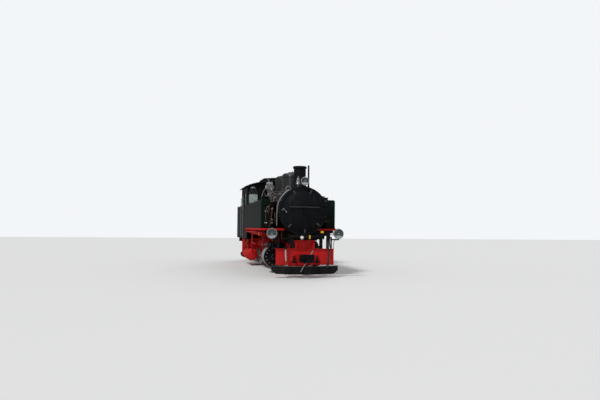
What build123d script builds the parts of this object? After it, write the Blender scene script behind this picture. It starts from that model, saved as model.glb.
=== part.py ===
from build123d import *
from math import atan2, cos, degrees, hypot, radians, sin, sqrt
import os

# A narrow-gauge 2-10-2 side-tank steam locomotive, in millimetres.
# +X is the front, +Y the left side, +Z up. The origin is below the middle coupled axle,
# level with the tips of the wheel flanges.

# Track, wheels and axles
flange_depth = 25.0
rail_z = flange_depth
back_to_back = 690.0
tyre_width = 115.0
flange_width = 32.0
tread_r = 400.0
rim_r = 328.0
hub_r = 104.0
axle_r = 66.0
coupled_count = 5
coupled_pitch = 1000.0
blind_axle = 3
spoke_count = 10
spoke_width = 44.0
web_inset = 36.0
carrying_r = 275.0
carrying_rim_r = 215.0
carrying_hub_r = 80.0
carrying_spoke_count = 8
carrying_x = 3800.0
wheel_in_y = back_to_back / 2
wheel_out_y = wheel_in_y + tyre_width
axle_z = rail_z + tread_r
carrying_z = rail_z + carrying_r
coupled_xs = [((coupled_count - 1) / 2 - n) * coupled_pitch for n in range(coupled_count)]

# Motion: coupling rods, main rods, crossheads and cylinders
crank_r = 200.0
crank_boss_r = 84.0
crank_pin_r = 42.0
pin_clearance = 0.5
right_crank_deg = -90.0
left_crank_deg = 0.0
running_gap = 5.0
coupling_rod_y = 610.0
coupling_rod_thick = 70.0
coupling_rod_height = 88.0
coupling_eye_r = 78.0
main_rod_y = 706.0
main_rod_length = 2000.0
main_rod_thick = 40.0
big_end_width = 84.0
small_end_width = 50.0
wrist_pin_r = 34.0
cylinder_y = main_rod_y
cylinder_z = rail_z + 540.0
cylinder_back_x = 2720.0
cylinder_front_x = 3320.0
cylinder_r = 340.0
cylinder_cover = 32.0
piston_rod_r = 30.0
piston_rod_gap = 2.0
crosshead_half = 150.0
crosshead_width = 92.0
slide_bar_width = 56.0
slide_bar_height = 60.0
slide_bar_rise = 125.0
motion_bracket_x = 1550.0
valve_y = 680.0
valve_z = cylinder_z + 385.0
valve_r = 150.0
return_crank_r = 110.0
bracket_outer_y = 870.0
link_thick = 30.0

# Main frame and beams
frame_y = 270.0
frame_thick = 30.0
frame_bottom = rail_z + 305.0
frame_top = rail_z + 1050.0
frame_end_bottom = rail_z + 690.0
frame_low_half = 3250.0
beam_x = 5200.0
beam_thick = 25.0
beam_half = 920.0
beam_bottom = rail_z + 370.0
beam_top = rail_z + 860.0
ledge_out = 40.0
ledge_thick = 15.0
ledge_top = beam_top + ledge_thick
ledge_back_x = beam_x - 200.0
end_stretcher_x = beam_x - 220.0
stretcher_half = 12.0
yoke_xs = (1500.0, 2650.0)
horn_half = 88.0
horn_top = axle_z + 150.0
truck_pivot_x = 2650.0
truck_pivot_z = rail_z + 330.0

# Couplers and ploughs
coupler_face_x = 5650.0
coupler_z = rail_z + 580.0
coupler_half_width = 225.0
coupler_half_height = 125.0
coupler_depth = 250.0
coupler_pivot_x = 5245.0
coupler_pin_r = 30.0
coupler_eye_half = 55.0
plough_half = 1060.0
plough_bottom = rail_z + 95.0
plough_top = rail_z + 340.0
plough_ridge_x = 5560.0
plough_wing_x = 5190.0
plough_thick = 14.0

# Boiler and smokebox
boiler_z = rail_z + 2060.0
boiler_r = 720.0
smokebox_r = 765.0
smokebox_wall = 15.0
smokebox_back_x = 3350.0
smokebox_front_x = 4870.0
door_r = 660.0
door_hole_r = 610.0
door_dish = 110.0
firebox_front_x = 300.0
backhead_x = -1350.0
firebox_half = 600.0
firebox_bottom = frame_top + 45.0
chimney_x = 4200.0
chimney_r = 205.0
chimney_lip_r = 227.0
flue_r = 160.0
chimney_top = rail_z + 3550.0

# Tanks, running boards and cab
board_top = rail_z + 1500.0
board_thick = 10.0
board_edge = 60.0
board_front_x = 4500.0
board_inner_y = 545.0
board_nose_y = 1185.0
bracket_xs = (2350.0, 1180.0, 0.0)
tank_front_x = 4000.0
tank_inner_y = 790.0
tank_mould_z = 180.0
tank_top = rail_z + 2460.0
cab_front_x = -700.0
cab_back_x = -2950.0
cab_half = 1240.0
side_step = 10.0
board_outer_y = cab_half + 50.0
tank_outer_y = cab_half + side_step
cab_wall = 30.0
cab_floor = rail_z + 1350.0
cab_bottom = frame_top
eave_z = rail_z + 3170.0
crown_z = rail_z + 3420.0
roof_half = cab_half + 85.0
roof_thick = 25.0
roof_overhang = 110.0
window_bottom = rail_z + 2330.0
window_top = rail_z + 2980.0
front_window_top = rail_z + 3175.0
door_front_x = -2080.0
door_back_x = -2700.0
door_gap = 6.0
bunker_back_x = -5050.0
bunker_half = cab_half + side_step
bunker_top = rail_z + 2450.0
bunker_wall = 20.0
hopper_back_z = cab_floor + 700.0
coal_floor = 500.0
coal_door_half = 300.0
coal_door_height = 620.0
ladder_out = 60.0
ladder_ys = (430.0, 770.0)
front_window_y = cab_half - 250.0
rear_window_y = cab_half - 500.0
front_window_half = 190.0
rear_window_half = 190.0
window_r = 60.0
glass_gap = 0.2
side_window_front_x = -1000.0
side_window_back_x = -1800.0
door_top = rail_z + 3080.0
vent_half = 490.0
vent_top = rail_z + 3565.0
seat_y = cab_half - 210.0
seat_x = -1900.0
reverser_r = 190.0
rail_out = 46.0
smokebox_rail_rise = 330.0
step_levels = (330.0, 620.0)
tank_edge_r = 60.0
filler_x = 3200.0
filler_inset = 230.0
filler_y = tank_outer_y - filler_inset
filler_r = 170.0
filler_height = 90.0

# Fittings
sand_dome_x = 2800.0
sand_dome_r = 370.0
steam_dome_x = 1150.0
steam_dome_r = 360.0
dome_top = rail_z + 3470.0
bell_x = 4680.0
bell_y = -140.0
bell_r = 86.0
bell_z = rail_z + 2920.0
pump_x = 4190.0
pump_y = 930.0
pump_height = 850.0
reservoir_back_x = -2000.0
reservoir_front_x = -600.0
reservoir_y = cab_half - 230.0
reservoir_z = rail_z + 430.0
reservoir_r = 235.0
pipe_stand_z = rail_z + 1240.0
lens_recess = 30.0
lens_thick = 11.8
lamp_rim = 12.0
lamp_post_x = 5200.0
lamp_post_y = 835.0
top_lamp_out = 140.0
top_lamp_y = 20.0
top_lamp_rise = 180.0
top_lamp_r = 125.0
side_lamp_out = 85.0
side_lamp_reach = 225.0
side_lamp_drop = 155.0
side_lamp_r = 152.0
rear_top_lamp_drop = 210.0
rear_top_lamp_r = 112.0
rear_lamp_inset = 320.0
rear_lamp_z = rail_z + 1350.0
rear_lamp_r = 120.0
exhaust_x = 4080.0
exhaust_y = 320.0
generator_y = -350.0
generator_z = boiler_z + boiler_r + 330.0
brake_beam_z = rail_z + 255.0
brake_hanger_top = rail_z + 760.0
brake_shoe_thick = 43.0
brake_back = tread_r + 57.0
strap_thick = 14.0
door_hinge_out = 70.0
door_rail_rise = 120.0
door_rail_half = 485.0


def block(x0, x1, y0, y1, z0, z1):
    """Box between two corners."""
    return Pos((x0 + x1) / 2, (y0 + y1) / 2, (z0 + z1) / 2) * Box(x1 - x0, y1 - y0, z1 - z0)


def bar_x(x0, x1, y, z, r):
    """Round bar along X."""
    return Pos((x0 + x1) / 2, y, z) * Rot(0, 90, 0) * Cylinder(r, x1 - x0)


def bar_y(y0, y1, x, z, r):
    """Round bar along Y."""
    return Pos(x, (y0 + y1) / 2, z) * Rot(90, 0, 0) * Cylinder(r, y1 - y0)


def bar_z(z0, z1, x, y, r):
    """Round bar along Z."""
    return Pos(x, y, (z0 + z1) / 2) * Cylinder(r, z1 - z0)


def plate_xz(points, y0, y1):
    """Flat plate cut to an outline of (x, z) points."""
    return extrude(Plane.XZ.offset(-y0) * Polygon(*points, align=None), y1 - y0, dir=(0, 1, 0))


def plate_yz(points, x0, x1):
    """Flat plate cut to an outline of (y, z) points."""
    return extrude(Plane.YZ.offset(x0) * Polygon(*points, align=None), x1 - x0, dir=(1, 0, 0))


def plate_xy(points, z0, z1):
    """Flat plate cut to an outline of (x, y) points."""
    return extrude(Plane.XY.offset(z0) * Polygon(*points, align=None), z1 - z0, dir=(0, 0, 1))


def turned_x(points):
    """Solid turned about the X axis from (x, radius) points."""
    return revolve(Polygon(*points, align=None), Axis.X)


def turned_y(points):
    """Solid turned about the Y axis from (radius, y) points."""
    return revolve(Polygon(*points, align=None), Axis.Y)


def turned_z(points):
    """Solid turned about the Z axis from (radius, z) points."""
    return revolve(Plane.XZ * Polygon(*points, align=None), Axis.Z)


def fuse(pieces):
    """All pieces as one shape: what touches is joined, what doesn't stays apart."""
    return Part() + list(pieces)


def both_sides(piece):
    """The piece and its mirror image on the other side of the locomotive."""
    return fuse([piece, mirror(piece, about=Plane.XZ)])


def both_ends(piece):
    """The piece and its mirror image at the other end of the locomotive."""
    return fuse([piece, mirror(piece, about=Plane.YZ)])


def right_side(piece):
    """A piece drawn on the left side, mirrored to the right."""
    return mirror(piece, about=Plane.XZ)


def pipe(points, r, bend):
    """Round pipe through points, with one bend radius at every corner."""
    path = FilletPolyline(*points, radius=bend) if len(points) > 2 else Line(*points)
    return sweep(Plane(origin=path @ 0, z_dir=path % 0) * Circle(r), path=path)


def coupled_wheel(flanged):
    """Left coupled wheel at the origin with its crank along +X."""
    lip_r = tread_r + flange_depth if flanged else tread_r
    lip_y = wheel_in_y + flange_width
    lip = [(lip_r, wheel_in_y), (tread_r, lip_y)] if flanged else [(tread_r, wheel_in_y)]
    outline = [(rim_r, wheel_in_y)] + lip + [(tread_r, wheel_out_y), (rim_r, wheel_out_y)]
    web_y0 = wheel_in_y + web_inset
    web_y1 = wheel_out_y - web_inset
    boss_y = coupling_rod_y - coupling_rod_thick / 2 - 2 * running_gap
    pin_y = coupling_rod_y + coupling_rod_thick / 2 + 3.0
    spoke = [(hub_r - 20, -0.6 * spoke_width), (rim_r + 4, -0.4 * spoke_width)]
    spoke += [(rim_r + 4, 0.4 * spoke_width), (hub_r - 20, 0.6 * spoke_width)]
    pieces = [turned_y(outline)]
    pieces.append(bar_y(wheel_in_y - 5, wheel_out_y + 10, 0, 0, hub_r))
    for n in range(spoke_count):
        pieces.append(Rot(0, n * 360 / spoke_count, 0) * plate_xz(spoke, web_y0, web_y1))
    weight = bar_y(web_y0, web_y1 + 10, 0, 0, rim_r + 4)
    pieces.append(weight & block(-rim_r - 5, -0.55 * rim_r, 0, wheel_out_y, -rim_r, rim_r))
    pieces.append(bar_y(web_y0, boss_y, crank_r, 0, crank_boss_r))
    pieces.append(bar_y(boss_y, pin_y, crank_r, 0, crank_pin_r))
    return fuse(pieces)


def coupled_wheelset(number):
    """One coupled axle with both wheels, the right crank a quarter turn behind the left."""
    wheel = coupled_wheel(number != blind_axle)
    left = Rot(0, -left_crank_deg, 0) * wheel
    right = Rot(0, -right_crank_deg, 0) * right_side(wheel)
    axle = bar_y(-wheel_in_y, wheel_in_y, 0, 0, axle_r)
    return Pos(coupled_xs[number - 1], 0, axle_z) * fuse([left, right, axle])


def carrying_wheelset(x):
    """One carrying axle with its two spoked wheels."""
    lip_y = wheel_in_y + flange_width
    outline = [(carrying_rim_r, wheel_in_y), (carrying_r + flange_depth, wheel_in_y), (carrying_r, lip_y)]
    outline += [(carrying_r, wheel_out_y), (carrying_rim_r, wheel_out_y)]
    spoke = [(carrying_hub_r - 20, -spoke_width / 2), (carrying_rim_r + 4, -spoke_width / 3)]
    spoke += [(carrying_rim_r + 4, spoke_width / 3), (carrying_hub_r - 20, spoke_width / 2)]
    pieces = [turned_y(outline), bar_y(wheel_in_y - 5, wheel_out_y + 10, 0, 0, carrying_hub_r)]
    for n in range(carrying_spoke_count):
        turn = Rot(0, n * 360 / carrying_spoke_count, 0)
        pieces.append(turn * plate_xz(spoke, wheel_in_y + web_inset, wheel_out_y - web_inset))
    wheel = fuse(pieces)
    axle = bar_y(-wheel_in_y, wheel_in_y, 0, 0, axle_r)
    return Pos(x, 0, carrying_z) * fuse([wheel, right_side(wheel), axle])


def crank_pin_at(axle_x, crank_deg):
    """Where an axle's crank pin lies, as (x, z)."""
    return axle_x + crank_r * cos(radians(crank_deg)), axle_z + crank_r * sin(radians(crank_deg))


def wrist_x(crank_deg):
    """Where the crosshead's wrist pin lies for the middle axle's crank angle."""
    pin_x, pin_z = crank_pin_at(0, crank_deg)
    return pin_x + sqrt(main_rod_length ** 2 - (cylinder_z - pin_z) ** 2)


def coupling_rods(crank_deg):
    """Left coupling rods of all coupled wheels, with the fluted webs and knuckles between the eyes."""
    y0 = coupling_rod_y - coupling_rod_thick / 2
    y1 = coupling_rod_y + coupling_rod_thick / 2
    web = 0.5 * coupling_rod_thick
    half = coupling_rod_height / 2
    pins = [crank_pin_at(x, crank_deg) for x in coupled_xs]
    z = pins[0][1]
    pieces = [block(pins[-1][0], pins[0][0], coupling_rod_y - web / 2, coupling_rod_y + web / 2, z - half,
                    z + half)]
    pieces += [bar_y(y0, y1, x, z, coupling_eye_r) for x, _ in pins]
    # A knuckle pin stands beside each inner eye, where the rod's sections are hinged.
    knuckles = [pins[1][0] + 150, pins[2][0] + 150, pins[2][0] - 150, pins[3][0] - 150]
    pieces += [bar_y(y0 + 8, y1 - 8, x, z, 50) for x in knuckles]
    rod = fuse(pieces)
    for near, far in zip(pins[1:], pins[:-1]):
        flute = block(near[0] + 230, far[0] - 230, coupling_rod_y + web / 2 - 8, y1, z - half + 22,
                      z + half - 22)
        rod -= flute
    for x, _ in pins:
        rod -= bar_y(y0, y1, x, z, crank_pin_r + pin_clearance)
    return rod


def main_rod(crank_deg):
    """Left main rod from the wrist pin back to the crank pin, with the return crank on its big end."""
    pin_x, pin_z = crank_pin_at(0, crank_deg)
    slope = degrees(atan2(cylinder_z - pin_z, wrist_x(crank_deg) - pin_x))
    length = main_rod_length
    shank = [(-length + 60, -60), (-40, -42), (-40, 42), (-length + 60, 60)]
    pieces = [plate_xz(shank, main_rod_y - main_rod_thick / 2, main_rod_y + main_rod_thick / 2)]
    pieces.append(bar_y(main_rod_y - small_end_width / 2, main_rod_y + small_end_width / 2, 0, 0, 68))
    strap_half = big_end_width / 2 - 4
    strap = block(-length - 115, -length + 115, main_rod_y - strap_half, main_rod_y + strap_half, -108, 108)
    pieces.append(fillet(strap.edges().filter_by(Axis.Y), 40))
    rod = fuse(pieces)
    flute = [(-length + 330, -34), (-230, -22), (-230, 22), (-length + 330, 34)]
    rod -= plate_xz(flute, main_rod_y + main_rod_thick / 2 - 9, main_rod_y + main_rod_thick)
    rod -= bar_y(main_rod_y - small_end_width, main_rod_y + small_end_width, 0, 0,
                 wrist_pin_r + pin_clearance)
    rod = Pos(wrist_x(crank_deg), 0, cylinder_z) * Rot(0, -slope, 0) * rod
    # The return crank's arm runs from the crank pin back towards the axle.
    arm_y = main_rod_y + big_end_width / 2
    back_x = return_crank_r * cos(radians(crank_deg + 90))
    back_z = axle_z + return_crank_r * sin(radians(crank_deg + 90))
    run = hypot(back_x - pin_x, back_z - pin_z)
    turn = degrees(atan2(back_z - pin_z, back_x - pin_x))
    arm = fuse([
        bar_y(arm_y - 8, arm_y + 24, 0, 0, 58),
        plate_xz([(0, -44), (run, -32), (run, 32), (0, 44)], arm_y, arm_y + 24),
        bar_y(arm_y, arm_y + 24, run, 0, 36),
    ])
    return fuse([rod, Pos(pin_x, 0, pin_z) * Rot(0, -turn, 0) * arm])


def crosshead(crank_deg):
    """Left crosshead: fork, wrist pin, slipper round the slide bar, piston rod and union link."""
    x = wrist_x(crank_deg)
    y0 = main_rod_y - crosshead_width / 2
    y1 = main_rod_y + crosshead_width / 2
    z = cylinder_z
    bar_bottom = z + slide_bar_rise
    bar_top = bar_bottom + slide_bar_height
    gap = 4.0
    slot = small_end_width / 2 + 3.0
    fork = block(x - 90, x + 130, y0, y1, z - 82, bar_bottom - gap)
    fork -= block(x - 90, x + 84, main_rod_y - slot, main_rod_y + slot, z - 82, z + 95)
    slipper = block(x - crosshead_half, x + crosshead_half, y0, y1, bar_bottom - 18, bar_top + 18)
    bar_half = slide_bar_width / 2 + gap
    tunnel = block(x - crosshead_half, x + crosshead_half, main_rod_y - bar_half, main_rod_y + bar_half,
                   bar_bottom - gap, bar_top + gap)
    slipper -= tunnel
    pin = bar_y(y0 - 2, y1 + 12, x, z, wrist_pin_r)
    rod = bar_x(x + 130, x + 950, main_rod_y, z, piston_rod_r)
    neck = bar_x(x + 120, x + 190, main_rod_y, z, 52)
    link_y = y1 + 14
    arm = block(x - 60, x + 10, y1 - 4, link_y, z - 190, z - 60)
    link = block(x - 30, x + 260, link_y, link_y + 14, z - 185, z - 155)
    return fuse([fork, slipper, pin, rod, neck, arm, link])


def cylinders():
    """Both cylinders with their valve chests, covers and blind piston bores."""
    y = cylinder_y
    z = cylinder_z
    body = bar_x(cylinder_back_x, cylinder_front_x, y, z, cylinder_r)
    chest = bar_x(cylinder_back_x - 60, cylinder_front_x + 60, valve_y, valve_z, valve_r)
    saddle = block(cylinder_back_x + 40, cylinder_front_x - 40, frame_y + frame_thick, y, z - 150,
                   valve_z + 90)
    side = block(cylinder_back_x + 30, cylinder_front_x - 30, y - 150, y + 195, z, valve_z - 20)
    front_cover = bar_x(cylinder_front_x, cylinder_front_x + cylinder_cover, y, z, cylinder_r - 35)
    front_boss = bar_x(cylinder_front_x + cylinder_cover, cylinder_front_x + 70, y, z, 110)
    back_cover = bar_x(cylinder_back_x - cylinder_cover, cylinder_back_x, y, z, cylinder_r - 45)
    gland = bar_x(cylinder_back_x - 110, cylinder_back_x, y, z, 75)
    chest_front = bar_x(cylinder_front_x + 60, cylinder_front_x + 85, valve_y, valve_z, valve_r - 30)
    chest_back = bar_x(cylinder_back_x - 85, cylinder_back_x - 60, valve_y, valve_z, valve_r - 30)
    bore = bar_x(cylinder_back_x - 120, cylinder_front_x - 120, y, z, piston_rod_r + piston_rod_gap)
    covers = [front_cover, front_boss, back_cover, gland, chest_front, chest_back]
    block_one = fuse([body, chest, saddle, side] + covers)
    return both_sides(block_one - bore)


def slide_bars():
    """Slide bars with the motion brackets that hold their back ends."""
    bar_z0 = cylinder_z + slide_bar_rise
    bar_z1 = bar_z0 + slide_bar_height
    half = slide_bar_width / 2
    bar_front_x = cylinder_back_x - cylinder_cover
    bar = block(motion_bracket_x - 30, bar_front_x, main_rod_y - half, main_rod_y + half, bar_z0, bar_z1)
    outer = bracket_outer_y
    plate = [(frame_y + frame_thick, bar_z1 + 60), (main_rod_y - 60, bar_z1), (outer, bar_z1),
             (outer, frame_top)]
    plate += [(frame_y + frame_thick, frame_top)]
    bracket = plate_yz(plate, motion_bracket_x - 12, motion_bracket_x + 12)
    # The radius rod passes through a window in the bracket.
    rod_y = main_rod_y + big_end_width / 2 + 24 + running_gap
    x = motion_bracket_x
    bracket -= block(x - 20, x + 20, rod_y - 12, rod_y + 24 + 12, valve_z - 90, valve_z + 50)
    return both_sides(fuse([bar, bracket]))


def rod_between(start, end, height, y0, y1, eye_r):
    """Flat rod with round eyes between two (x, z) points."""
    run = hypot(end[0] - start[0], end[1] - start[1])
    turn = degrees(atan2(end[1] - start[1], end[0] - start[0]))
    flat = block(0, run, y0, y1, -height / 2, height / 2)
    eyes = [bar_y(y0, y1, 0, 0, eye_r), bar_y(y0, y1, run, 0, eye_r)]
    return Pos(start[0], 0, start[1]) * Rot(0, -turn, 0) * fuse([flat] + eyes)


def valve_gear_side(crank_deg):
    """Left valve gear: eccentric rod, expansion link, radius rod, combination lever and valve spindle."""
    arm_y = main_rod_y + big_end_width / 2 + 24
    y0 = arm_y + running_gap
    y1 = y0 + 24
    back_x = return_crank_r * cos(radians(crank_deg + 90))
    back_z = axle_z + return_crank_r * sin(radians(crank_deg + 90))
    link_x = motion_bracket_x - 130
    link_foot = (link_x, valve_z - 280)
    eccentric = rod_between((back_x, back_z), link_foot, 46, y0, y1, 36)
    link = rod_between((link_x, valve_z - 280), (link_x, valve_z + 160), 84, y1, y1 + link_thick, 42)
    lever_x = cylinder_back_x - 330
    radius_rod = rod_between((link_x, valve_z - 40), (lever_x, valve_z), 44, y0, y1, 30)
    lever = rod_between((lever_x, valve_z + 60), (lever_x + 20, cylinder_z - 170), 46, y1, y1 + 22, 30)
    spindle_end = bar_y(valve_y - 20, y1, lever_x, valve_z + 60, 26)
    spindle = bar_x(lever_x - 30, cylinder_back_x - 85, valve_y, valve_z + 60, 24)
    hanger = block(link_x - 35, motion_bracket_x - 12, y1 + link_thick, bracket_outer_y, valve_z - 75,
                   valve_z - 5)
    return fuse([eccentric, link, radius_rod, lever, spindle_end, spindle, hanger])


def valve_gear():
    """Valve gear on both sides, as it stands at rest."""
    return fuse([valve_gear_side(left_crank_deg), right_side(valve_gear_side(right_crank_deg))])


def main_frame():
    """Plate frame: two side plates with horn gaps, stretchers, boiler supports and truck pivots."""
    low = frame_low_half
    slope = 250.0
    end = beam_x - beam_thick
    outline = [(-end, frame_top), (-end, frame_end_bottom), (-low - slope, frame_end_bottom),
               (-low, frame_bottom)]
    outline += [(low, frame_bottom), (low + slope, frame_end_bottom), (end, frame_end_bottom),
                (end, frame_top)]
    plate = plate_xz(outline, frame_y, frame_y + frame_thick)
    for x in coupled_xs:
        plate -= block(x - horn_half, x + horn_half, frame_y, frame_y + frame_thick, frame_bottom, horn_top)
    # Lightening holes between the axles
    for x in coupled_xs[:-1]:
        plate -= bar_y(frame_y, frame_y + frame_thick, x - coupled_pitch / 2, axle_z + 260, 120)
    pieces = [plate, right_side(plate)]
    # Stretchers across the frame: x, bottom, top
    stretchers = [
        (end_stretcher_x, frame_end_bottom, frame_top), (3850, frame_end_bottom, frame_end_bottom + 20),
        (3060, frame_bottom + 120, frame_top), (truck_pivot_x, truck_pivot_z + 60, frame_top),
        (1500, frame_bottom + 150, frame_top), (500, frame_bottom + 150, frame_top),
        (-1500, frame_bottom + 150, frame_top), (-truck_pivot_x, truck_pivot_z + 60, frame_top),
        (-3100, frame_bottom + 120, frame_top), (-3850, frame_end_bottom, frame_end_bottom + 20),
        (-end_stretcher_x, frame_end_bottom, frame_top),
    ]
    for x, z0, z1 in stretchers:
        half = stretcher_half if z1 - z0 > 100 else 260
        pieces.append(block(x - half, x + half, -frame_y, frame_y, z0, z1))
    for x in (truck_pivot_x, -truck_pivot_x):
        pieces.append(block(x - 90, x + 90, -frame_y, frame_y, truck_pivot_z + 60, truck_pivot_z + 90))
        pieces.append(bar_z(truck_pivot_z - 30, truck_pivot_z + 60, x, 0, 40))
    # Yoke plates carry the barrel above the frame.
    for x in yoke_xs:
        yoke = block(x - stretcher_half, x + stretcher_half, -400, 400, frame_top, boiler_z - 500)
        pieces.append(yoke - bar_x(x - 20, x + 20, 0, boiler_z, boiler_r))
    return fuse(pieces)


def keeper_bars():
    """Bars that close the horn gaps below the axle boxes."""
    pieces = []
    for x in coupled_xs:
        half = horn_half + 50
        pieces.append(block(x - half, x + half, frame_y, frame_y + frame_thick, frame_bottom - 25,
                            frame_bottom))
    return both_sides(fuse(pieces))


def axle_boxes():
    """Axle boxes in their horns, with a leaf spring above each one."""
    pieces = []
    box_bottom = axle_z - 90
    box_top = axle_z + 110
    spring_y0 = frame_y - 45
    spring_y1 = frame_y - 5
    for x in coupled_xs:
        body = block(x - horn_half, x + horn_half, frame_y - 45, frame_y + frame_thick + 25, box_bottom,
                     box_top)
        body -= bar_y(frame_y - 60, frame_y + 80, x, axle_z, axle_r + pin_clearance)
        pieces.append(body)
        for n in range(4):
            half = 330 - 80 * n
            top = box_top + 80 - 20 * n
            pieces.append(block(x - half, x + half, spring_y0, spring_y1, top - 20, top))
    return both_sides(fuse(pieces))


def truck_frame():
    """Front pony truck: side plates, axle boxes, cross members and the arm back to its pivot."""
    x = carrying_x
    z = carrying_z
    side = block(x - 330, x + 330, 225, 255, z - 60, z + 130)
    box = block(x - 95, x + 95, 205, 320, z - 95, z + 95)
    box -= bar_y(200, 330, x, z, axle_r + pin_clearance)
    side -= bar_y(200, 330, x, z, axle_r + pin_clearance)
    arm = plate_xy([(truck_pivot_x - 20, 40), (truck_pivot_x - 20, 90), (x - 320, 255), (x - 320, 205)],
                   z + 60, z + 100)
    half = fuse([side, box, arm])
    ends = [block(x - 330, x - 300, -240, 240, z + 30, z + 130),
            block(x + 300, x + 330, -240, 240, z - 20, z + 130)]
    pad = block(x - 120, x + 120, -240, 240, z + 100, z + 130)
    post = bar_z(z + 130, frame_end_bottom - running_gap - 20, x, 0, 110)
    top = block(x - 150, x + 150, -150, 150, frame_end_bottom - running_gap - 20,
                frame_end_bottom - running_gap)
    head = bar_z(truck_pivot_z - 20, truck_pivot_z + 40, truck_pivot_x, 0, 100)
    truck = fuse([half, right_side(half), pad, post, top, head] + ends)
    return truck - bar_z(truck_pivot_z - 60, truck_pivot_z + 60, truck_pivot_x, 0, 40 + 1.0)


def buffer_beams():
    """Beams at both ends, with the top ledge, draw bracket towers and safety hooks."""
    plate = block(beam_x - beam_thick, beam_x, -beam_half, beam_half, beam_bottom, beam_top)
    plate -= block(beam_x - 2 * beam_thick, beam_x + 5, -110, 110, coupler_z - 90, coupler_z + 90)
    ledge = block(ledge_back_x, beam_x + ledge_out, -beam_half, beam_half, beam_top, ledge_top)
    for y in (frame_y, -frame_y - frame_thick):
        ledge -= block(ledge_back_x - 50, beam_x - beam_thick, y, y + frame_thick, beam_top - 5,
                       ledge_top + 5)
    pieces = [plate, ledge]
    for y in (-365, 365):
        outline = [(beam_x, coupler_z - 150), (beam_x + 70, coupler_z - 110), (beam_x + 70, coupler_z + 60)]
        tower = plate_xz(outline + [(beam_x, coupler_z + 130)], y - 50, y + 50)
        bar = block(beam_x, beam_x + 90, y - 70, y + 70, coupler_z - 190, coupler_z - 150)
        hook = block(beam_x + 50, beam_x + 90, y - 20, y + 20, coupler_z - 260, coupler_z - 190)
        tip = block(beam_x + 50, beam_x + 130, y - 20, y + 20, coupler_z - 290, coupler_z - 260)
        pieces += [tower, bar, hook, tip]
    return both_ends(fuse(pieces))


def ploughs():
    """V-shaped rail ploughs below both beams, on plates from the beam."""
    t = plough_thick
    slope = (plough_ridge_x - plough_wing_x) / plough_half
    blade = plate_xy([(plough_ridge_x, 0), (plough_wing_x, plough_half), (plough_wing_x - t, plough_half),
                      (plough_ridge_x - 1.3 * t, 0)], plough_bottom, plough_top)
    low = plough_bottom - 1
    edge = plough_half + 5
    corner = [(plough_half - 150, low), (edge, low), (edge, plough_bottom + 110)]
    blade -= plate_yz(corner, plough_wing_x - 100, plough_ridge_x)
    pieces = [blade]
    for y in (250, 700):
        inner_x = plough_ridge_x - slope * y - t
        foot = [(beam_x - beam_thick, beam_bottom), (beam_x - beam_thick, plough_top - 60),
                (inner_x, plough_bottom + 60)]
        foot += [(inner_x, plough_top), (beam_x + 20, beam_bottom)]
        pieces.append(plate_xz(foot, y - 8, y + 8))
    return both_ends(both_sides(fuse(pieces)))


def coupler():
    """Front coupler: a box head with a cone and a funnel, its shank and its lever."""
    face = coupler_face_x
    plate_x = face - 60
    back = face - coupler_depth
    y = coupler_half_width
    z = coupler_z
    low = (Align.CENTER, Align.CENTER, Align.MIN)
    head = block(back, plate_x, -y, y, z - coupler_half_height, z + coupler_half_height)
    head = fillet(head.edges().filter_by(Axis.X), 40)
    head -= Pos(plate_x - 1, y / 2, z) * Rot(0, -90, 0) * Cone(80, 30, 130, align=low)
    cone = Pos(plate_x, -y / 2, z) * Rot(0, 90, 0) * Cone(70, 30, 60, align=low)
    lip = block(plate_x, plate_x + 30, y - 50, y - 10, z - 80, z + 80)
    eye_half = coupler_eye_half
    shank = block(coupler_pivot_x + 20, back, -60, 60, z - eye_half, z + eye_half)
    shank += bar_z(z - eye_half, z + eye_half, coupler_pivot_x, 0, 75)
    shank -= bar_z(z - 60, z + 60, coupler_pivot_x, 0, coupler_pin_r + pin_clearance)
    # The release lever slants across the head's face and down in front of the plough.
    lever = pipe([(plate_x - 30, 175, z + 240), (plate_x - 30, -205, z - 405)], 11, 0)
    return fuse([head, cone, lip, shank, lever])


def coupler_pockets():
    """Jaws ahead of the beams that hold the coupler pins."""
    x1 = coupler_pivot_x + 60
    gap = coupler_eye_half + running_gap
    pieces = [block(beam_x, x1, -90, 90, coupler_z + gap, coupler_z + gap + 20)]
    pieces.append(block(beam_x, x1, -90, 90, coupler_z - gap - 20, coupler_z - gap))
    pieces.append(bar_z(coupler_z - 100, coupler_z + 100, coupler_pivot_x, 0, coupler_pin_r))
    return both_ends(fuse(pieces))


def boiler():
    """Clad barrel and round-topped firebox, back to the plate in the cab."""
    barrel = bar_x(backhead_x, smokebox_back_x, 0, boiler_z, boiler_r)
    box = block(backhead_x, firebox_front_x, -firebox_half, firebox_half, firebox_bottom, boiler_z - 300)
    bands = [bar_x(x, x + 60, 0, boiler_z, boiler_r + 6) for x in (2240, 1630, 590, -60)]
    return fuse([barrel, box] + bands)


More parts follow.
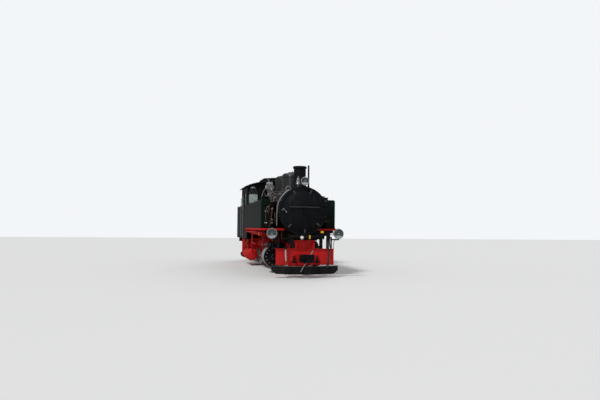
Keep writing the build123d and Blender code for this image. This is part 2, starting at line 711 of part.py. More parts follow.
def smokebox():
    """Hollow smokebox with its front ring, tube plate, saddle and flue hole."""
    outer = bar_x(smokebox_back_x, smokebox_front_x, 0, boiler_z, smokebox_r)
    inner = bar_x(smokebox_back_x + 20, smokebox_front_x - 20, 0, boiler_z, smokebox_r - smokebox_wall)
    shell = outer - inner - bar_x(smokebox_front_x - 40, smokebox_front_x + 5, 0, boiler_z, door_hole_r)
    shell -= bar_z(boiler_z + smokebox_r - 100, boiler_z + smokebox_r + 10, chimney_x, 0, flue_r)
    front_ring = bar_x(smokebox_front_x - 40, smokebox_front_x, 0, boiler_z, smokebox_r + 12)
    front_ring -= bar_x(smokebox_front_x - 50, smokebox_front_x + 5, 0, boiler_z,
                        smokebox_r - smokebox_wall)
    # Lugs on the ring carry the door's hinge.
    lugs = []
    y = door_r + door_hinge_out
    for z in (boiler_z - 150, boiler_z + 160):
        lugs.append(block(smokebox_front_x - 20, smokebox_front_x + 66, y - 40, y + 26, z - 10, z + 10))
    half = frame_y + frame_thick
    back_x = smokebox_back_x + 150
    front_x = smokebox_front_x - 220
    saddle = block(back_x, front_x, -half, half, frame_top, boiler_z - 500)
    top = boiler_z - 560
    apron = plate_yz([(-430, frame_top), (430, frame_top), (480, top), (-480, top)], front_x - 30, front_x)
    saddle = fuse([saddle, apron]) - bar_x(back_x - 100, front_x + 100, 0, boiler_z, smokebox_r - 1)
    return fuse([shell, front_ring, saddle] + lugs)


def smokebox_door():
    """Dished round door with its handrail, strap hinges and centre wheel."""
    x = smokebox_front_x
    crown = x + 22 + door_dish
    # x, radius of the dished sheet from its rim to its crown
    dish = [(x + 1, 0), (x + 1, door_r), (x + 22, door_r), (x + 22 + 0.42 * door_dish, 0.78 * door_r)]
    dish += [(x + 22 + 0.76 * door_dish, door_r / 2), (x + 22 + 0.94 * door_dish, door_r / 4), (crown, 0)]
    sheet = Pos(0, 0, boiler_z) * turned_x(dish)
    pieces = [sheet]
    # The centre spindle with its four-armed handle
    pieces.append(bar_x(crown - 10, crown + 90, 0, boiler_z, 22))
    pieces.append(block(crown + 42, crown + 56, -105, 105, boiler_z - 10, boiler_z + 10))
    pieces.append(block(crown + 42, crown + 56, -10, 10, boiler_z - 105, boiler_z + 105))
    # Handrail across the door on three posts
    rail_x = crown + 25
    rail_level = boiler_z + door_rail_rise
    pieces.append(bar_y(-door_rail_half, door_rail_half, rail_x, rail_level, 13))
    for y in (45 - door_rail_half, 0, door_rail_half - 45):
        pieces.append(block(x + 20, rail_x, y - 9, y + 9, rail_level - 9, rail_level + 9))
    # Two strap hinges reach from the left edge towards the middle.
    skin = Pos(strap_thick, 0, 0) * sheet
    hinge_y = door_r + door_hinge_out
    for dz in (-195, 205):
        z0 = boiler_z + dz - 30
        z1 = boiler_z + dz + 30
        pieces.append((skin & block(x + 10, crown + 30, 120, door_r, z0, z1)) - sheet)
        pieces.append(block(x + 12, x + 52, door_r - 60, hinge_y, z0, z1) - sheet)
        pieces.append(bar_z(z0, z1, x + 40, hinge_y, 26))
    return fuse(pieces)


def chimney():
    """Chimney with a flared foot seated on the smokebox, a top lip and an open flue."""
    base = boiler_z + smokebox_r - 110
    crown = boiler_z + smokebox_r
    # radius, z of the outside from the foot to the lip
    outline = [(flue_r, base), (300, base), (300, crown - 45), (278, crown + 12), (243, crown + 32),
               (220, crown + 60)]
    outline += [(chimney_r, crown + 110), (chimney_r - 6, chimney_top - 70),
                (chimney_lip_r, chimney_top - 50)]
    outline += [(chimney_lip_r, chimney_top - 18), (chimney_r, chimney_top), (flue_r, chimney_top)]
    tube = Pos(chimney_x, 0, 0) * turned_z(outline)
    return tube - bar_x(chimney_x - 400, chimney_x + 400, 0, boiler_z, smokebox_r)


def dome(x, r, top, shoulder):
    """Dome with a flared foot seated on the barrel and a rounded crown."""
    foot = boiler_z + boiler_r - 130
    # radius, z from the skirt up over the shoulder
    outline = [(0, foot), (r + 75, foot), (r + 60, foot + 90), (r + 18, foot + 150), (r, foot + 200)]
    for a in (0, 30, 60, 90):
        outline.append((r - shoulder * (1 - cos(radians(a))), top - shoulder * (1 - sin(radians(a)))))
    outline.append((0, top))
    return Pos(x, 0, 0) * turned_z(outline) - bar_x(x - 600, x + 600, 0, boiler_z, boiler_r)


def domes():
    """Sand dome ahead and steam dome behind it."""
    # x, radius, top, shoulder radius
    rows = [(sand_dome_x, sand_dome_r, dome_top - 40, 110), (steam_dome_x, steam_dome_r, dome_top, 150)]
    lid = bar_z(dome_top - 40, dome_top - 5, sand_dome_x, 0, 150)
    return fuse([dome(*row) for row in rows] + [lid])


def boiler_mountings():
    """Safety valves and whistle on the firebox crown, with the steam stand beside them."""
    top = boiler_z + boiler_r
    seat = block(-480, -120, -190, 190, top - 60, top + 60) - bar_x(-500, 0, 0, boiler_z, boiler_r)
    pieces = [seat]
    # radius, height of a safety valve above the crown
    valve = [(0, 60), (62, 60), (62, 130), (44, 150), (44, 330), (58, 350), (58, 390), (0, 400)]
    for y in (-105, 105):
        pieces.append(Pos(-200, y, top) * turned_z(valve))
    pieces.append(bar_z(top + 60, top + 240, -390, 110, 22))
    pieces.append(bar_z(top + 240, top + 430, -390, 110, 42))
    pieces.append(block(-450, -330, -150, 20, top + 60, top + 200))
    return fuse(pieces)


def bell():
    """Bell on its post beside the chimney foot."""
    z0 = boiler_z + smokebox_r
    post = block(bell_x - 22, bell_x + 22, bell_y - 22, bell_y + 22, z0 - 60, bell_z)
    post -= bar_x(bell_x - 100, bell_x + 100, 0, boiler_z, smokebox_r)
    # radius, height above the lip
    outline = [(0, 0), (bell_r, 0), (bell_r - 10, 25), (bell_r - 26, 80), (bell_r - 32, 165), (28, 205),
               (0, 212)]
    cup = Pos(bell_x, bell_y, bell_z) * turned_z(outline)
    knob = bar_z(bell_z + 210, bell_z + 262, bell_x, bell_y, 22)
    return fuse([post, cup, knob])


def side_tanks():
    """Side tanks on the running boards, with their filler necks."""
    tank = block(cab_front_x, tank_front_x, tank_inner_y, tank_outer_y, board_top, tank_top)
    edges = tank.edges().filter_by(Axis.X).group_by(Axis.Z)[-1].sort_by(Axis.Y)[-1:]
    tank = fillet(edges, tank_edge_r)
    neck = bar_z(tank_top, tank_top + filler_height, filler_x, filler_y, filler_r)
    neck -= bar_z(tank_top + 20, tank_top + filler_height, filler_x, filler_y, filler_r - 16)
    mould_z = tank_top - tank_mould_z
    band = block(cab_front_x, tank_front_x, tank_outer_y, tank_outer_y + 8, mould_z - 10, mould_z + 8)
    foot = block(cab_front_x, tank_front_x, tank_outer_y, tank_outer_y + 12, board_top, board_top + 40)
    # Two cheeks on the neck carry the lid's hinge.
    back_x = filler_x - filler_r
    z = tank_top + filler_height
    cheeks = []
    for y in (filler_y - 59, filler_y + 59):
        cheeks.append(block(back_x - 46, back_x + 15, y - 5, y + 5, z - 60, z - 10))
        cheeks.append(block(back_x - 46, back_x - 14, y - 5, y + 5, z - 10, z + 32))
    return both_sides(fuse([tank, neck, band, foot] + cheeks))


def filler_lid():
    """Left water filler lid on its hinge, with a grip at the free edge."""
    z = tank_top + filler_height
    back_x = filler_x - filler_r
    front_x = filler_x + filler_r
    lid = bar_z(z + running_gap, z + 26, filler_x, filler_y, filler_r + 14)
    hinge = block(back_x - 30, back_x + 40, filler_y - 40, filler_y + 40, z + 6, z + 34)
    knuckle = bar_y(filler_y - 48, filler_y + 48, back_x - 30, z + 20, 14)
    grip = block(front_x, front_x + 70, filler_y - 14, filler_y + 14, z + 10, z + 26)
    return fuse([lid, hinge, knuckle, grip])


def running_boards():
    """Boards beside the boiler, narrower ahead of the tanks, with edge strips and brackets below."""
    z = board_top
    under = z - board_thick
    corner_x = tank_front_x + 40
    nose_x = corner_x + 120
    strip = 12
    frame_side = frame_y + frame_thick

    def board_outline(inset):
        """Outline of the board, drawn in from its outer and front edges."""
        outer = board_outer_y - inset
        nose = board_nose_y - inset
        front_x = board_front_x - inset
        return [(cab_front_x, board_inner_y), (cab_front_x, outer), (corner_x, outer), (nose_x, nose),
                (front_x, nose), (front_x, board_inner_y)]

    board = plate_xy(board_outline(0), under, z)
    edge = plate_xy(board_outline(0), z - board_edge, under)
    edge -= plate_xy(board_outline(strip), z - board_edge, z)
    pieces = [board, edge]
    # Brackets from the frame outwards: x, outer y
    back_x = cab_front_x + 80
    brackets = [(tank_front_x + 100, board_nose_y), (bracket_xs[0], board_outer_y)]
    brackets += [(x, board_outer_y) for x in bracket_xs[1:] + (back_x,)]
    for x, outer in brackets:
        reach = outer - strip
        web = [(frame_side, under), (frame_side, frame_top - 70), (reach, z - board_edge - 60),
               (reach, under)]
        pieces.append(plate_yz(web, x - 8, x + 8))
    pieces.append(block(back_x, bracket_xs[0], board_outer_y - 70, board_outer_y - 50, z - 170, z - 100))
    # A stay holds the nose up from the frame.
    stay_x = board_front_x - strip
    pieces.append(block(stay_x - 28, stay_x, 600, 640, z - 330, under))
    pieces.append(block(stay_x - 28, stay_x, frame_side, 640, z - 350, z - 310))
    boards = fuse(pieces)
    boards -= block(backhead_x, firebox_front_x, -firebox_half, firebox_half, firebox_bottom, boiler_z)
    boards -= bar_x(cab_front_x - 10, smokebox_back_x, 0, boiler_z, boiler_r + 6)
    boards -= bar_x(smokebox_back_x, board_front_x + 10, 0, boiler_z, smokebox_r)
    return both_sides(boards)


def window(x0, x1, z0, z1, y0, y1, r):
    """Cutter for a wall opening with rounded corners."""
    hole = block(x0, x1, y0, y1, z0, z1)
    return fillet(hole.edges().filter_by(Axis.Y), r)


def front_window(y, grow):
    """Outline cutter for an arched front window, grown by the given margin."""
    half = front_window_half + grow
    z0 = window_bottom - grow
    z1 = front_window_top - front_window_half
    leg = block(cab_front_x - 60, cab_front_x + 30, y - half, y + half, z0, z1)
    return fuse([leg, bar_x(cab_front_x - 60, cab_front_x + 30, y, z1, half)])


def rear_window(y, x0, x1, grow):
    """Outline of a rear window with rounded corners, grown by the given margin."""
    half = rear_window_half + grow
    pane = block(x0, x1, y - half, y + half, window_bottom - grow, window_top + grow)
    return fillet(pane.edges().filter_by(Axis.X), window_r + grow)


def cab_body():
    """Cab walls, floor and rear wall with windows and doorways cut."""
    x0 = cab_back_x
    x1 = cab_front_x
    w = cab_wall
    crown = roof_arc_z(0) - roof_thick
    knee = cab_half - 400
    knee_z = roof_arc_z(knee) - 60
    outline = [(-cab_half, cab_bottom), (cab_half, cab_bottom), (cab_half, eave_z), (knee, knee_z)]
    outline += [(0, crown - 20), (-knee, knee_z), (-cab_half, eave_z)]
    shell = plate_yz(outline, x0, x1)
    inner = cab_half - w
    room = block(x0 + w, x1 - w, -inner, inner, cab_floor, eave_z + 200)
    under = block(x0 - 5, x1 + 5, -inner, inner, cab_bottom - 5, cab_floor - 40)
    body = shell - room - under - roof_void()
    body -= bar_x(x1 - 100, x1 + 100, 0, boiler_z, boiler_r + 8)
    body -= block(backhead_x - 10, x1 + 100, -firebox_half - 8, firebox_half + 8, cab_bottom,
                  boiler_z - 290)
    for y in (-front_window_y, front_window_y):
        body -= front_window(y, 0)
    for side in (1, -1):
        y_in = side * (cab_half - w - 10)
        y_out = side * (cab_half + 10)
        lo, hi = min(y_in, y_out), max(y_in, y_out)
        body -= window(side_window_back_x, side_window_front_x, window_bottom, window_top, lo, hi, window_r)
        body -= block(door_back_x, door_front_x, lo, hi, cab_floor, door_top)
        body -= rear_window(side * rear_window_y, x0 - 10, x0 + w + 10, 0)
    # Coal door opening in the rear wall
    half = coal_door_half
    return body - block(x0 - 10, x0 + w + 10, -half, half, cab_floor, cab_floor + coal_door_height)


def roof_arc_z(y):
    """Height of the roof's upper face at a distance from the centre line."""
    rise = crown_z - eave_z
    r = (roof_half ** 2 + rise ** 2) / (2 * rise)
    return crown_z - r + sqrt(r ** 2 - y ** 2)


def roof_arch(lift):
    """Everything below the roof's upper face, raised by the given lift."""
    rise = crown_z - eave_z
    r = (roof_half ** 2 + rise ** 2) / (2 * rise)
    return bar_x(cab_back_x - 400, cab_front_x + 400, 0, crown_z - r, r + lift)


def roof_void():
    """Space above the underside of the roof."""
    half = roof_half + 50
    cap = block(cab_back_x - 200, cab_front_x + 200, -half, half, eave_z - 60, crown_z + 200)
    return cap - roof_arch(-roof_thick)


def cab_roof():
    """Arched roof sheet with its rain strips and the raised ventilator."""
    x0 = cab_back_x - roof_overhang
    x1 = cab_front_x + roof_overhang
    slab = block(x0, x1, -roof_half, roof_half, eave_z - 60, crown_z + 10)
    pieces = [slab & (roof_arch(0) - roof_arch(-roof_thick))]
    vent_x0 = cab_back_x + 600
    vent_x1 = cab_front_x - 90
    half = vent_half
    pieces.append(block(vent_x0, vent_x1, -half, half, eave_z, vent_top - 40) - roof_arch(0))
    lip = half + 60
    lid = [(-lip, vent_top - 60), (-lip, vent_top - 40), (0, vent_top), (lip, vent_top - 40),
           (lip, vent_top - 60)]
    pieces.append(plate_yz(lid, vent_x0 - 40, vent_x1 + 40))
    # Rain strips across the roof near both ends
    reach = cab_half - 60
    for x in (x0 + 30, x1 - 40):
        strip = block(x, x + 30, -reach, reach, eave_z, crown_z + 14) - roof_arch(0)
        pieces.append(strip & roof_arch(22))
    return fuse(pieces)


def cab_glass():
    """Panes of the front, side and rear windows."""
    front_x = cab_front_x - cab_wall / 2
    rear_x = cab_back_x + cab_wall / 2
    gap = glass_gap
    pieces = []
    for side in (1, -1):
        cut = block(front_x - 3, front_x + 3, -roof_half, roof_half, cab_floor, crown_z)
        pieces.append(front_window(side * front_window_y, -gap) & cut)
        y = side * (cab_half - cab_wall / 2)
        pieces.append(window(side_window_back_x + gap, side_window_front_x - gap, window_bottom + gap,
                             window_top - gap, y - 3, y + 3, window_r - gap))
        pieces.append(rear_window(side * rear_window_y, rear_x - 3, rear_x + 3, -gap))
    return fuse(pieces)


def door_window(y0, y1, gap):
    """Window of the left cab door, drawn in by a gap."""
    x0 = door_back_x + 110 + gap
    x1 = door_front_x - 110 - gap
    return window(x0, x1, window_bottom + gap, window_top - 60 - gap, y0, y1, 50 - gap)


def cab_door():
    """Left cab door leaf with its window cut and a grip."""
    y0 = cab_half - cab_wall + 2
    g = door_gap
    leaf = block(door_back_x + g, door_front_x - g, y0, cab_half - 2, cab_floor + g, door_top - g)
    leaf = fillet(leaf.edges().filter_by(Axis.Z).group_by(Axis.X)[-1], 12)
    leaf -= door_window(y0 - 10, cab_half + 10, 0)
    x = door_back_x + 40
    grip = block(x, x + 30, cab_half - 2, cab_half + 25, window_bottom - 260, window_bottom - 120)
    return fuse([leaf, grip])


def cab_door_glass():
    """Pane of the left cab door."""
    mid = cab_half - cab_wall / 2
    return door_window(mid - 3, mid + 3, glass_gap)


def seat(y):
    """Round-legged seat on the cab floor."""
    z = cab_floor + 560
    pad = block(seat_x - 140, seat_x + 140, y - 150, y + 150, z, z + 60)
    return [bar_z(cab_floor, z, seat_x, y, 36), pad]


def cab_interior():
    """Fire door, gauges, regulator, water gauges, reversing wheel and seats in the cab."""
    x = backhead_x
    z = boiler_z
    pieces = []
    pieces.append(block(x - 45, x, -210, 210, z - 430, z - 130))
    pieces.append(bar_x(x - 60, x, 0, z + 250, 60))
    pieces.append(block(x - 80, x - 60, -20, 360, z + 235, z + 265))
    for y in (-420, 420):
        pieces.append(bar_z(z - 40, z + 320, x - 40, y, 24))
        pieces.append(block(x - 40, x, y - 20, y + 20, z - 20, z + 20))
        pieces.append(block(x - 40, x, y - 20, y + 20, z + 260, z + 300))
    for y in (-150, 0, 150):
        pieces.append(bar_x(x - 50, x, y, z + 480, 62))
    # Reversing stand on the right, with its four-spoked wheel
    y = 10 - seat_y
    wheel_z = cab_floor + 640
    wheel_x = x - 240
    rim = bar_x(wheel_x, wheel_x + 30, y, wheel_z, reverser_r)
    rim -= bar_x(wheel_x - 10, wheel_x + 40, y, wheel_z, reverser_r - 25)
    reach = reverser_r - 15
    rim += block(wheel_x, wheel_x + 30, y - reach, y + reach, wheel_z - 15, wheel_z + 15)
    rim += block(wheel_x, wheel_x + 30, y - 15, y + 15, wheel_z - reach, wheel_z + reach)
    pieces.append(rim)
    pieces.append(bar_x(wheel_x + 30, wheel_x + 90, y, wheel_z, 30))
    pieces.append(block(wheel_x + 90, wheel_x + 210, y - 80, y + 80, cab_floor, cab_floor + 720))
    return fuse(pieces + seat(seat_y) + seat(-seat_y))


def bunker_tank():
    """Closed tank in the lower part of the bunker, its sloping top the floor of the coal space."""
    x0 = bunker_back_x
    x1 = cab_back_x
    outline = [(x0, frame_top), (x1, frame_top), (x1, cab_floor), (x1 - coal_floor, cab_floor),
               (x0, hopper_back_z)]
    return plate_xz(outline, -bunker_half, bunker_half)


def coal_bunker():
    """Walls round the coal space above the tank, with the coal door, the rim and the ladder behind."""
    x0 = bunker_back_x
    x1 = cab_back_x
    w = bunker_wall
    half = bunker_half
    top = bunker_top
    outline = [(x0, hopper_back_z), (x1 - coal_floor, cab_floor), (x1, cab_floor), (x1, top), (x0, top)]
    side = plate_xz(outline, half - w, half)
    pieces = [side, right_side(side)]
    pieces.append(block(x0, x0 + w, -half, half, hopper_back_z - 20, top))
    front = block(x1 - w, x1, -half, half, cab_floor, top)
    pieces.append(front - block(x1 - w - 5, x1 + 5, -coal_door_half, coal_door_half, cab_floor,
                                cab_floor + coal_door_height))
    rim = block(x0 - 12, x1 - 4, -half - 12, half + 12, top - 30, top)
    pieces.append(rim - block(x0 + w, x1 - w, w - half, half - w, top - 40, top + 5))
    body = fuse(pieces) - bunker_tank()
    # Ladder up the back: two stringers, five rungs and four brackets
    ladder = []
    back = x0 - ladder_out
    foot = frame_top + 60
    for y in ladder_ys:
        ladder.append(block(back - 10, back + 10, y - 10, y + 10, foot, top - 120))
        for z in (foot + 20, top - 200):
            ladder.append(block(back, x0, y - 10, y + 10, z, z + 20))
    ladder += [bar_y(ladder_ys[0], ladder_ys[1], back, foot + 100 + 280 * n, 12) for n in range(5)]
    return fuse([body] + ladder)


def pump(x, y, z0, r_top, r_low):
    """Upright steam pump: steam cylinder above, yoke, air cylinder below."""
    pieces = [bar_z(z0, z0 + 330, x, y, r_low), bar_z(z0 + 330, z0 + 470, x, y, r_low - 45)]
    pieces += [bar_z(z0 + 470, z0 + 780, x, y, r_top), bar_z(z0 + 780, z0 + pump_height, x, y, r_top - 40)]
    # Flanges: height, radius
    flanges = [(40, r_low + 14), (290, r_low + 14), (490, r_top + 14), (745, r_top + 14)]
    pieces += [bar_z(z0 + rise, z0 + rise + 18, x, y, r) for rise, r in flanges]
    return fuse(pieces)


def pumps():
    """Air pump on the right board ahead of the tank, and the cylinder oil pump on the left board."""
    x = pump_x
    y = pump_y
    oil = block(x - 150, x + 150, y - 90, y + 90, board_top, board_top + 190)
    oil += bar_y(y + 90, y + 130, x + 60, board_top + 110, 62)
    return fuse([pump(x, -y, board_top, 120, 130), oil])


def generator():
    """Steam generator for the lamps, ahead of the cab on the right."""
    z = generator_z
    y = generator_y
    seat = block(-400, -180, y - 60, y + 60, boiler_z + 400, z - 90) - bar_x(-600, 0, 0, boiler_z, boiler_r)
    drum = bar_x(-470, -240, y, z, 150)
    rotor = bar_x(-240, -130, y, z, 115)
    cap = bar_x(-500, -470, y, z, 95)
    return fuse([seat, drum, rotor, cap])


def air_reservoirs():
    """Air reservoirs slung below the cab and the running boards on both sides."""
    x0 = reservoir_back_x
    x1 = reservoir_front_x
    r = reservoir_r
    y = reservoir_y
    outline = [(x0, 0), (x0 + 20, r * 0.6), (x0 + 60, r), (x1 - 60, r), (x1 - 20, r * 0.6), (x1, 0)]
    pieces = [Pos(0, y, reservoir_z) * turned_x(outline)]
    for x in (x0 + 250, x1 - 250):
        pieces.append(bar_x(x - 25, x + 25, y, reservoir_z, r + 8))
        pieces.append(block(x - 25, x + 25, y - 20, y + 20, reservoir_z, cab_bottom))
        pieces.append(block(x - 25, x + 25, frame_y + frame_thick, y + 20, cab_bottom - 60, cab_bottom))
    return both_sides(fuse(pieces))


def front_pipe_stand():
    """Cross pipe on two posts above the front beam."""
    x = beam_x - 60
    pieces = [bar_y(-480, 594, x, pipe_stand_z, 58)]
    # y and half width of the posts
    for y, half in ((-410, 58), (500, 32)):
        pieces.append(block(x - 30, x + 30, y - half, y + half, ledge_top, pipe_stand_z))
    return fuse(pieces)


def front_apron():
    """Dished plate with a diagonal brace between the frame ends, above the beam."""
    x = end_stretcher_x + stretcher_half
    top = frame_top + 85
    low = beam_top + 40
    half = 350
    rim_width = 25
    plate = block(x, x + 12, -half, half, low, top)
    inside = half - rim_width
    rim = block(x, x + 50, -half, half, low, top)
    rim -= block(x - 5, x + 60, -inside, inside, low + rim_width, top - rim_width)
    brace = plate_yz([(-60, top - 25), (0, top - 25), (inside, low + 40), (inside - 55, low + 25)], x + 12,
                     x + 34)
    return fuse([plate, rim, brace])


def handrails():
    """Handrails along the smokebox and beside the cab doors."""
    z = boiler_z + smokebox_rail_rise
    y = sqrt(smokebox_r ** 2 - smokebox_rail_rise ** 2) + 55
    pieces = [bar_x(tank_front_x + 60, smokebox_front_x - 60, y, z, 16)]
    for x in (tank_front_x + 100, smokebox_front_x - 100):
        stub = block(x - 12, x + 12, y - 75, y, z - 12, z + 12)
        pieces.append(stub - bar_x(x - 50, x + 50, 0, boiler_z, smokebox_r))
    for x in (door_front_x + 55, door_back_x - 55):
        pieces.append(bar_z(cab_floor - 200, window_top - 200, x, cab_half + rail_out, 13))
        for stub_z in (cab_floor - 150, window_top - 260):
            pieces.append(block(x - 9, x + 9, cab_half, cab_half + rail_out, stub_z - 9, stub_z + 9))
    return both_sides(fuse(pieces))


def steps():
    """Hanging steps below the cab doors."""
    xa = door_back_x + 20
    xb = door_front_x - 20
    inner = cab_half - 130
    outer = cab_half - 10
    pieces = [block(x - 8, x + 8, inner + 60, outer, rail_z + step_levels[0], cab_bottom) for x in (xa, xb)]
    for level in step_levels:
        pieces.append(block(xa - 8, xb + 8, inner, outer, rail_z + level, rail_z + level + 20))
    return both_sides(fuse(pieces))


def lamp(x, y, z, r, depth):
    """Headlamp body facing the front, open for its lens."""
    recess = x - lens_recess
    inner = r - lamp_rim
    shell = [(recess, 0), (recess, inner), (x, inner), (x, r), (x - 0.5 * depth, r), (x - depth, 0.5 * r),
             (x - depth, 0)]
    return Pos(0, y, z) * turned_x(shell)


side_lamp_x = lamp_post_x + side_lamp_out
side_lamp_y = lamp_post_y + side_lamp_reach
side_lamp_z = board_top - side_lamp_drop
rear_lamp_y = bunker_half - rear_lamp_inset
LAMPS = [
    # x of the face, y, z, radius, depth
    (smokebox_front_x + top_lamp_out, top_lamp_y, boiler_z + smokebox_r + top_lamp_rise, top_lamp_r, 190.0),
    (side_lamp_x, side_lamp_y, side_lamp_z, side_lamp_r, 200.0),
    (side_lamp_x, -side_lamp_y, side_lamp_z, side_lamp_r, 200.0),
]
REAR_LAMPS = [
    (100.0 - bunker_back_x, 0.0, bunker_top - rear_top_lamp_drop, rear_top_lamp_r, 100.0),
    (140.0 - bunker_back_x, rear_lamp_y, rear_lamp_z, rear_lamp_r, 140.0),
    (140.0 - bunker_back_x, -rear_lamp_y, rear_lamp_z, rear_lamp_r, 140.0),
]


def headlamps():
    """Three lamps at each end with their brackets and posts."""
    pieces = [lamp(*row) for row in LAMPS]
    pieces += [Rot(0, 0, 180) * lamp(*row) for row in REAR_LAMPS]
    top_x, top_y, top_z, top_r, _ = LAMPS[0]
    ring_x = smokebox_front_x
    seat_z = boiler_z + smokebox_r - 30
    stand = block(ring_x - 40, top_x - 70, top_y - 40, top_y + 40, seat_z, top_z - 0.7 * top_r)
    pieces.append(stand - bar_x(ring_x - 60, ring_x, 0, boiler_z, smokebox_r + 12))
    x = lamp_post_x
    _, lamp_y, lamp_z, lamp_r, _ = LAMPS[1]
    arm_z = lamp_z - lamp_r - 30
    for side in (1, -1):
        y = side * lamp_post_y
        out = side * lamp_y
        end = out + side * 30
        pieces.append(block(x - 20, x + 20, y - 20, y + 20, ledge_top, arm_z + 90))
        pieces.append(block(x - 20, x + 20, min(y, end), max(y, end), arm_z - 20, arm_z + 20))
        pieces.append(bar_z(arm_z, lamp_z - 0.8 * lamp_r, x, out, 22))
    return fuse(pieces)


def lamp_lenses():
    """Glass of every lamp."""
    gap = glass_gap
    near = lens_recess - gap
    far = near - lens_thick
    front = [bar_x(x - near, x - far, y, z, r - lamp_rim - gap) for x, y, z, r, _ in LAMPS]
    rear = [bar_x(far - x, near - x, -y, z, r - lamp_rim - gap) for x, y, z, r, _ in REAR_LAMPS]
    return fuse(front + rear)


def pipework():
    """Exhaust pipe beside the chimney, and the air pump's two pipes from the smokebox."""
    shell = bar_x(smokebox_back_x + 50, smokebox_front_x - 70, 0, boiler_z, smokebox_r)
    pieces = [bar_z(boiler_z + 600, chimney_top + 50, exhaust_x, exhaust_y, 28) - shell]
    pump_head_z = board_top + pump_height
    # x from the pump's middle, rise above the boiler's centre line
    for dx, rise in ((50, 520), (-50, 630)):
        x = pump_x + dx
        z = boiler_z + rise
        start_y = 10 - sqrt(smokebox_r ** 2 - rise ** 2)
        points = [(x, start_y, z), (x, -pump_y, z), (x, -pump_y, pump_head_z)]
        pieces.append(pipe(points, 20, 90) - shell)
    return fuse(pieces)


def ash_pan():
    """Ash pan below the grate, with a hopper between two axles."""
    mid = -coupled_pitch / 2
    x0 = backhead_x + 60
    x1 = firebox_front_x - 40
    clear_z = axle_z + axle_r + 30
    outline = [(x0, firebox_bottom), (x1, firebox_bottom), (x1, 640), (mid + 350, clear_z),
               (mid + 200, 320)]
    outline += [(mid - 200, 320), (mid - 350, clear_z), (x0, 640)]
    half = frame_y - 55
    return plate_xz(outline, -half, half) - axle_spring_space()


def axle_spring_space():
    """Room for the springs beside the ash pan."""
    return both_sides(block(-2000, 1000, frame_y - 50, frame_y, axle_z, axle_z + 220))


def brake_gear():
    """Brake blocks behind every coupled wheel with hangers, beams and pull rods."""
    pieces = []
    y0 = wheel_in_y + flange_width + 8
    y1 = wheel_out_y - 6
    inner_r = tread_r + running_gap
    pin_z = brake_hanger_top - 30
    for axle_x in coupled_xs:
        x = axle_x - brake_back
        ring = bar_y(y0, y1, axle_x, axle_z, inner_r + brake_shoe_thick)
        ring -= bar_y(y0 - 5, y1 + 5, axle_x, axle_z, inner_r)
        pieces.append(ring & block(x - 3, x + 117, y0, y1, axle_z - 150, axle_z + 110))
        pieces.append(block(x - 15, x + 15, y0 + 15, y0 + 45, brake_beam_z, brake_hanger_top))
        pieces.append(block(x - 15, x + 15, frame_y + frame_thick, y0 + 45, pin_z - 15, pin_z + 15))
        pieces.append(block(x - 18, x + 18, 0, y1, brake_beam_z - 18, brake_beam_z + 18))
    back = coupled_xs[-1] - brake_back
    front = coupled_xs[0] - brake_back
    pieces.append(block(back, front, 130, 160, brake_beam_z - 18, brake_beam_z + 18))
    return both_sides(fuse(pieces))


def build_cord(points, diameter):
    """Plain tube of a hanging hose: straight runs joined by the largest tangent arcs."""
    runs = [(Vector(b) - Vector(a)).length for a, b in zip(points[:-1], points[1:])]
    radii = []
    for n in range(1, len(points) - 1):
        before = Vector(points[n]) - Vector(points[n - 1])
        after = Vector(points[n + 1]) - Vector(points[n])
        half_turn = radians(before.get_angle(after) / 2)
        radii.append(0.45 * min(runs[n - 1], runs[n]) * cos(half_turn) / sin(half_turn))
    path = FilletPolyline(*points, radius=radii)
    print("hose radii", [round(r) for r in radii], "length", round(path.length))
    return sweep(Plane(origin=path @ 0, z_dir=path % 0) * Circle(diameter / 2), path=path)


brake_hose_d = 48.0
brake_hose_points = [
    (5300.0, -630.0, 875.0), (5300.0, -630.0, 775.0), (5312.0, -628.0, 690.0), (5324.0, -622.0, 610.0),
    (5330.0, -616.0, 525.0),
]
heating_hose_d = 60.0
heating_hose_points = [
    (5300.0, 710.0, 1170.0), (5300.0, 710.0, 1020.0), (5318.0, 718.0, 880.0), (5342.0, 720.0, 740.0),
    (5360.0, 714.0, 610.0), (5366.0, 700.0, 480.0),
]


def cord_end(points):
    """Plane at a hose's lower end, facing the way it leaves."""
    a = Vector(points[-2])
    b = Vector(points[-1])
    return Plane(origin=b, z_dir=b - a)


def hose_couplings():
    """Coupling on the brake hose, and the flanged end on the heating hose."""
    low = (Align.CENTER, Align.CENTER, Align.MIN)
    brake_end = cord_end(brake_hose_points) * Cylinder(brake_hose_d / 2 + 6, 60, align=low)
    flange = cord_end(heating_hose_points) * Cylinder(heating_hose_d / 2 + 28, 24, align=low)
    stub = cord_end(heating_hose_points) * Cylinder(heating_hose_d / 2 + 4, 150, align=low)
    return fuse([brake_end, flange, stub])


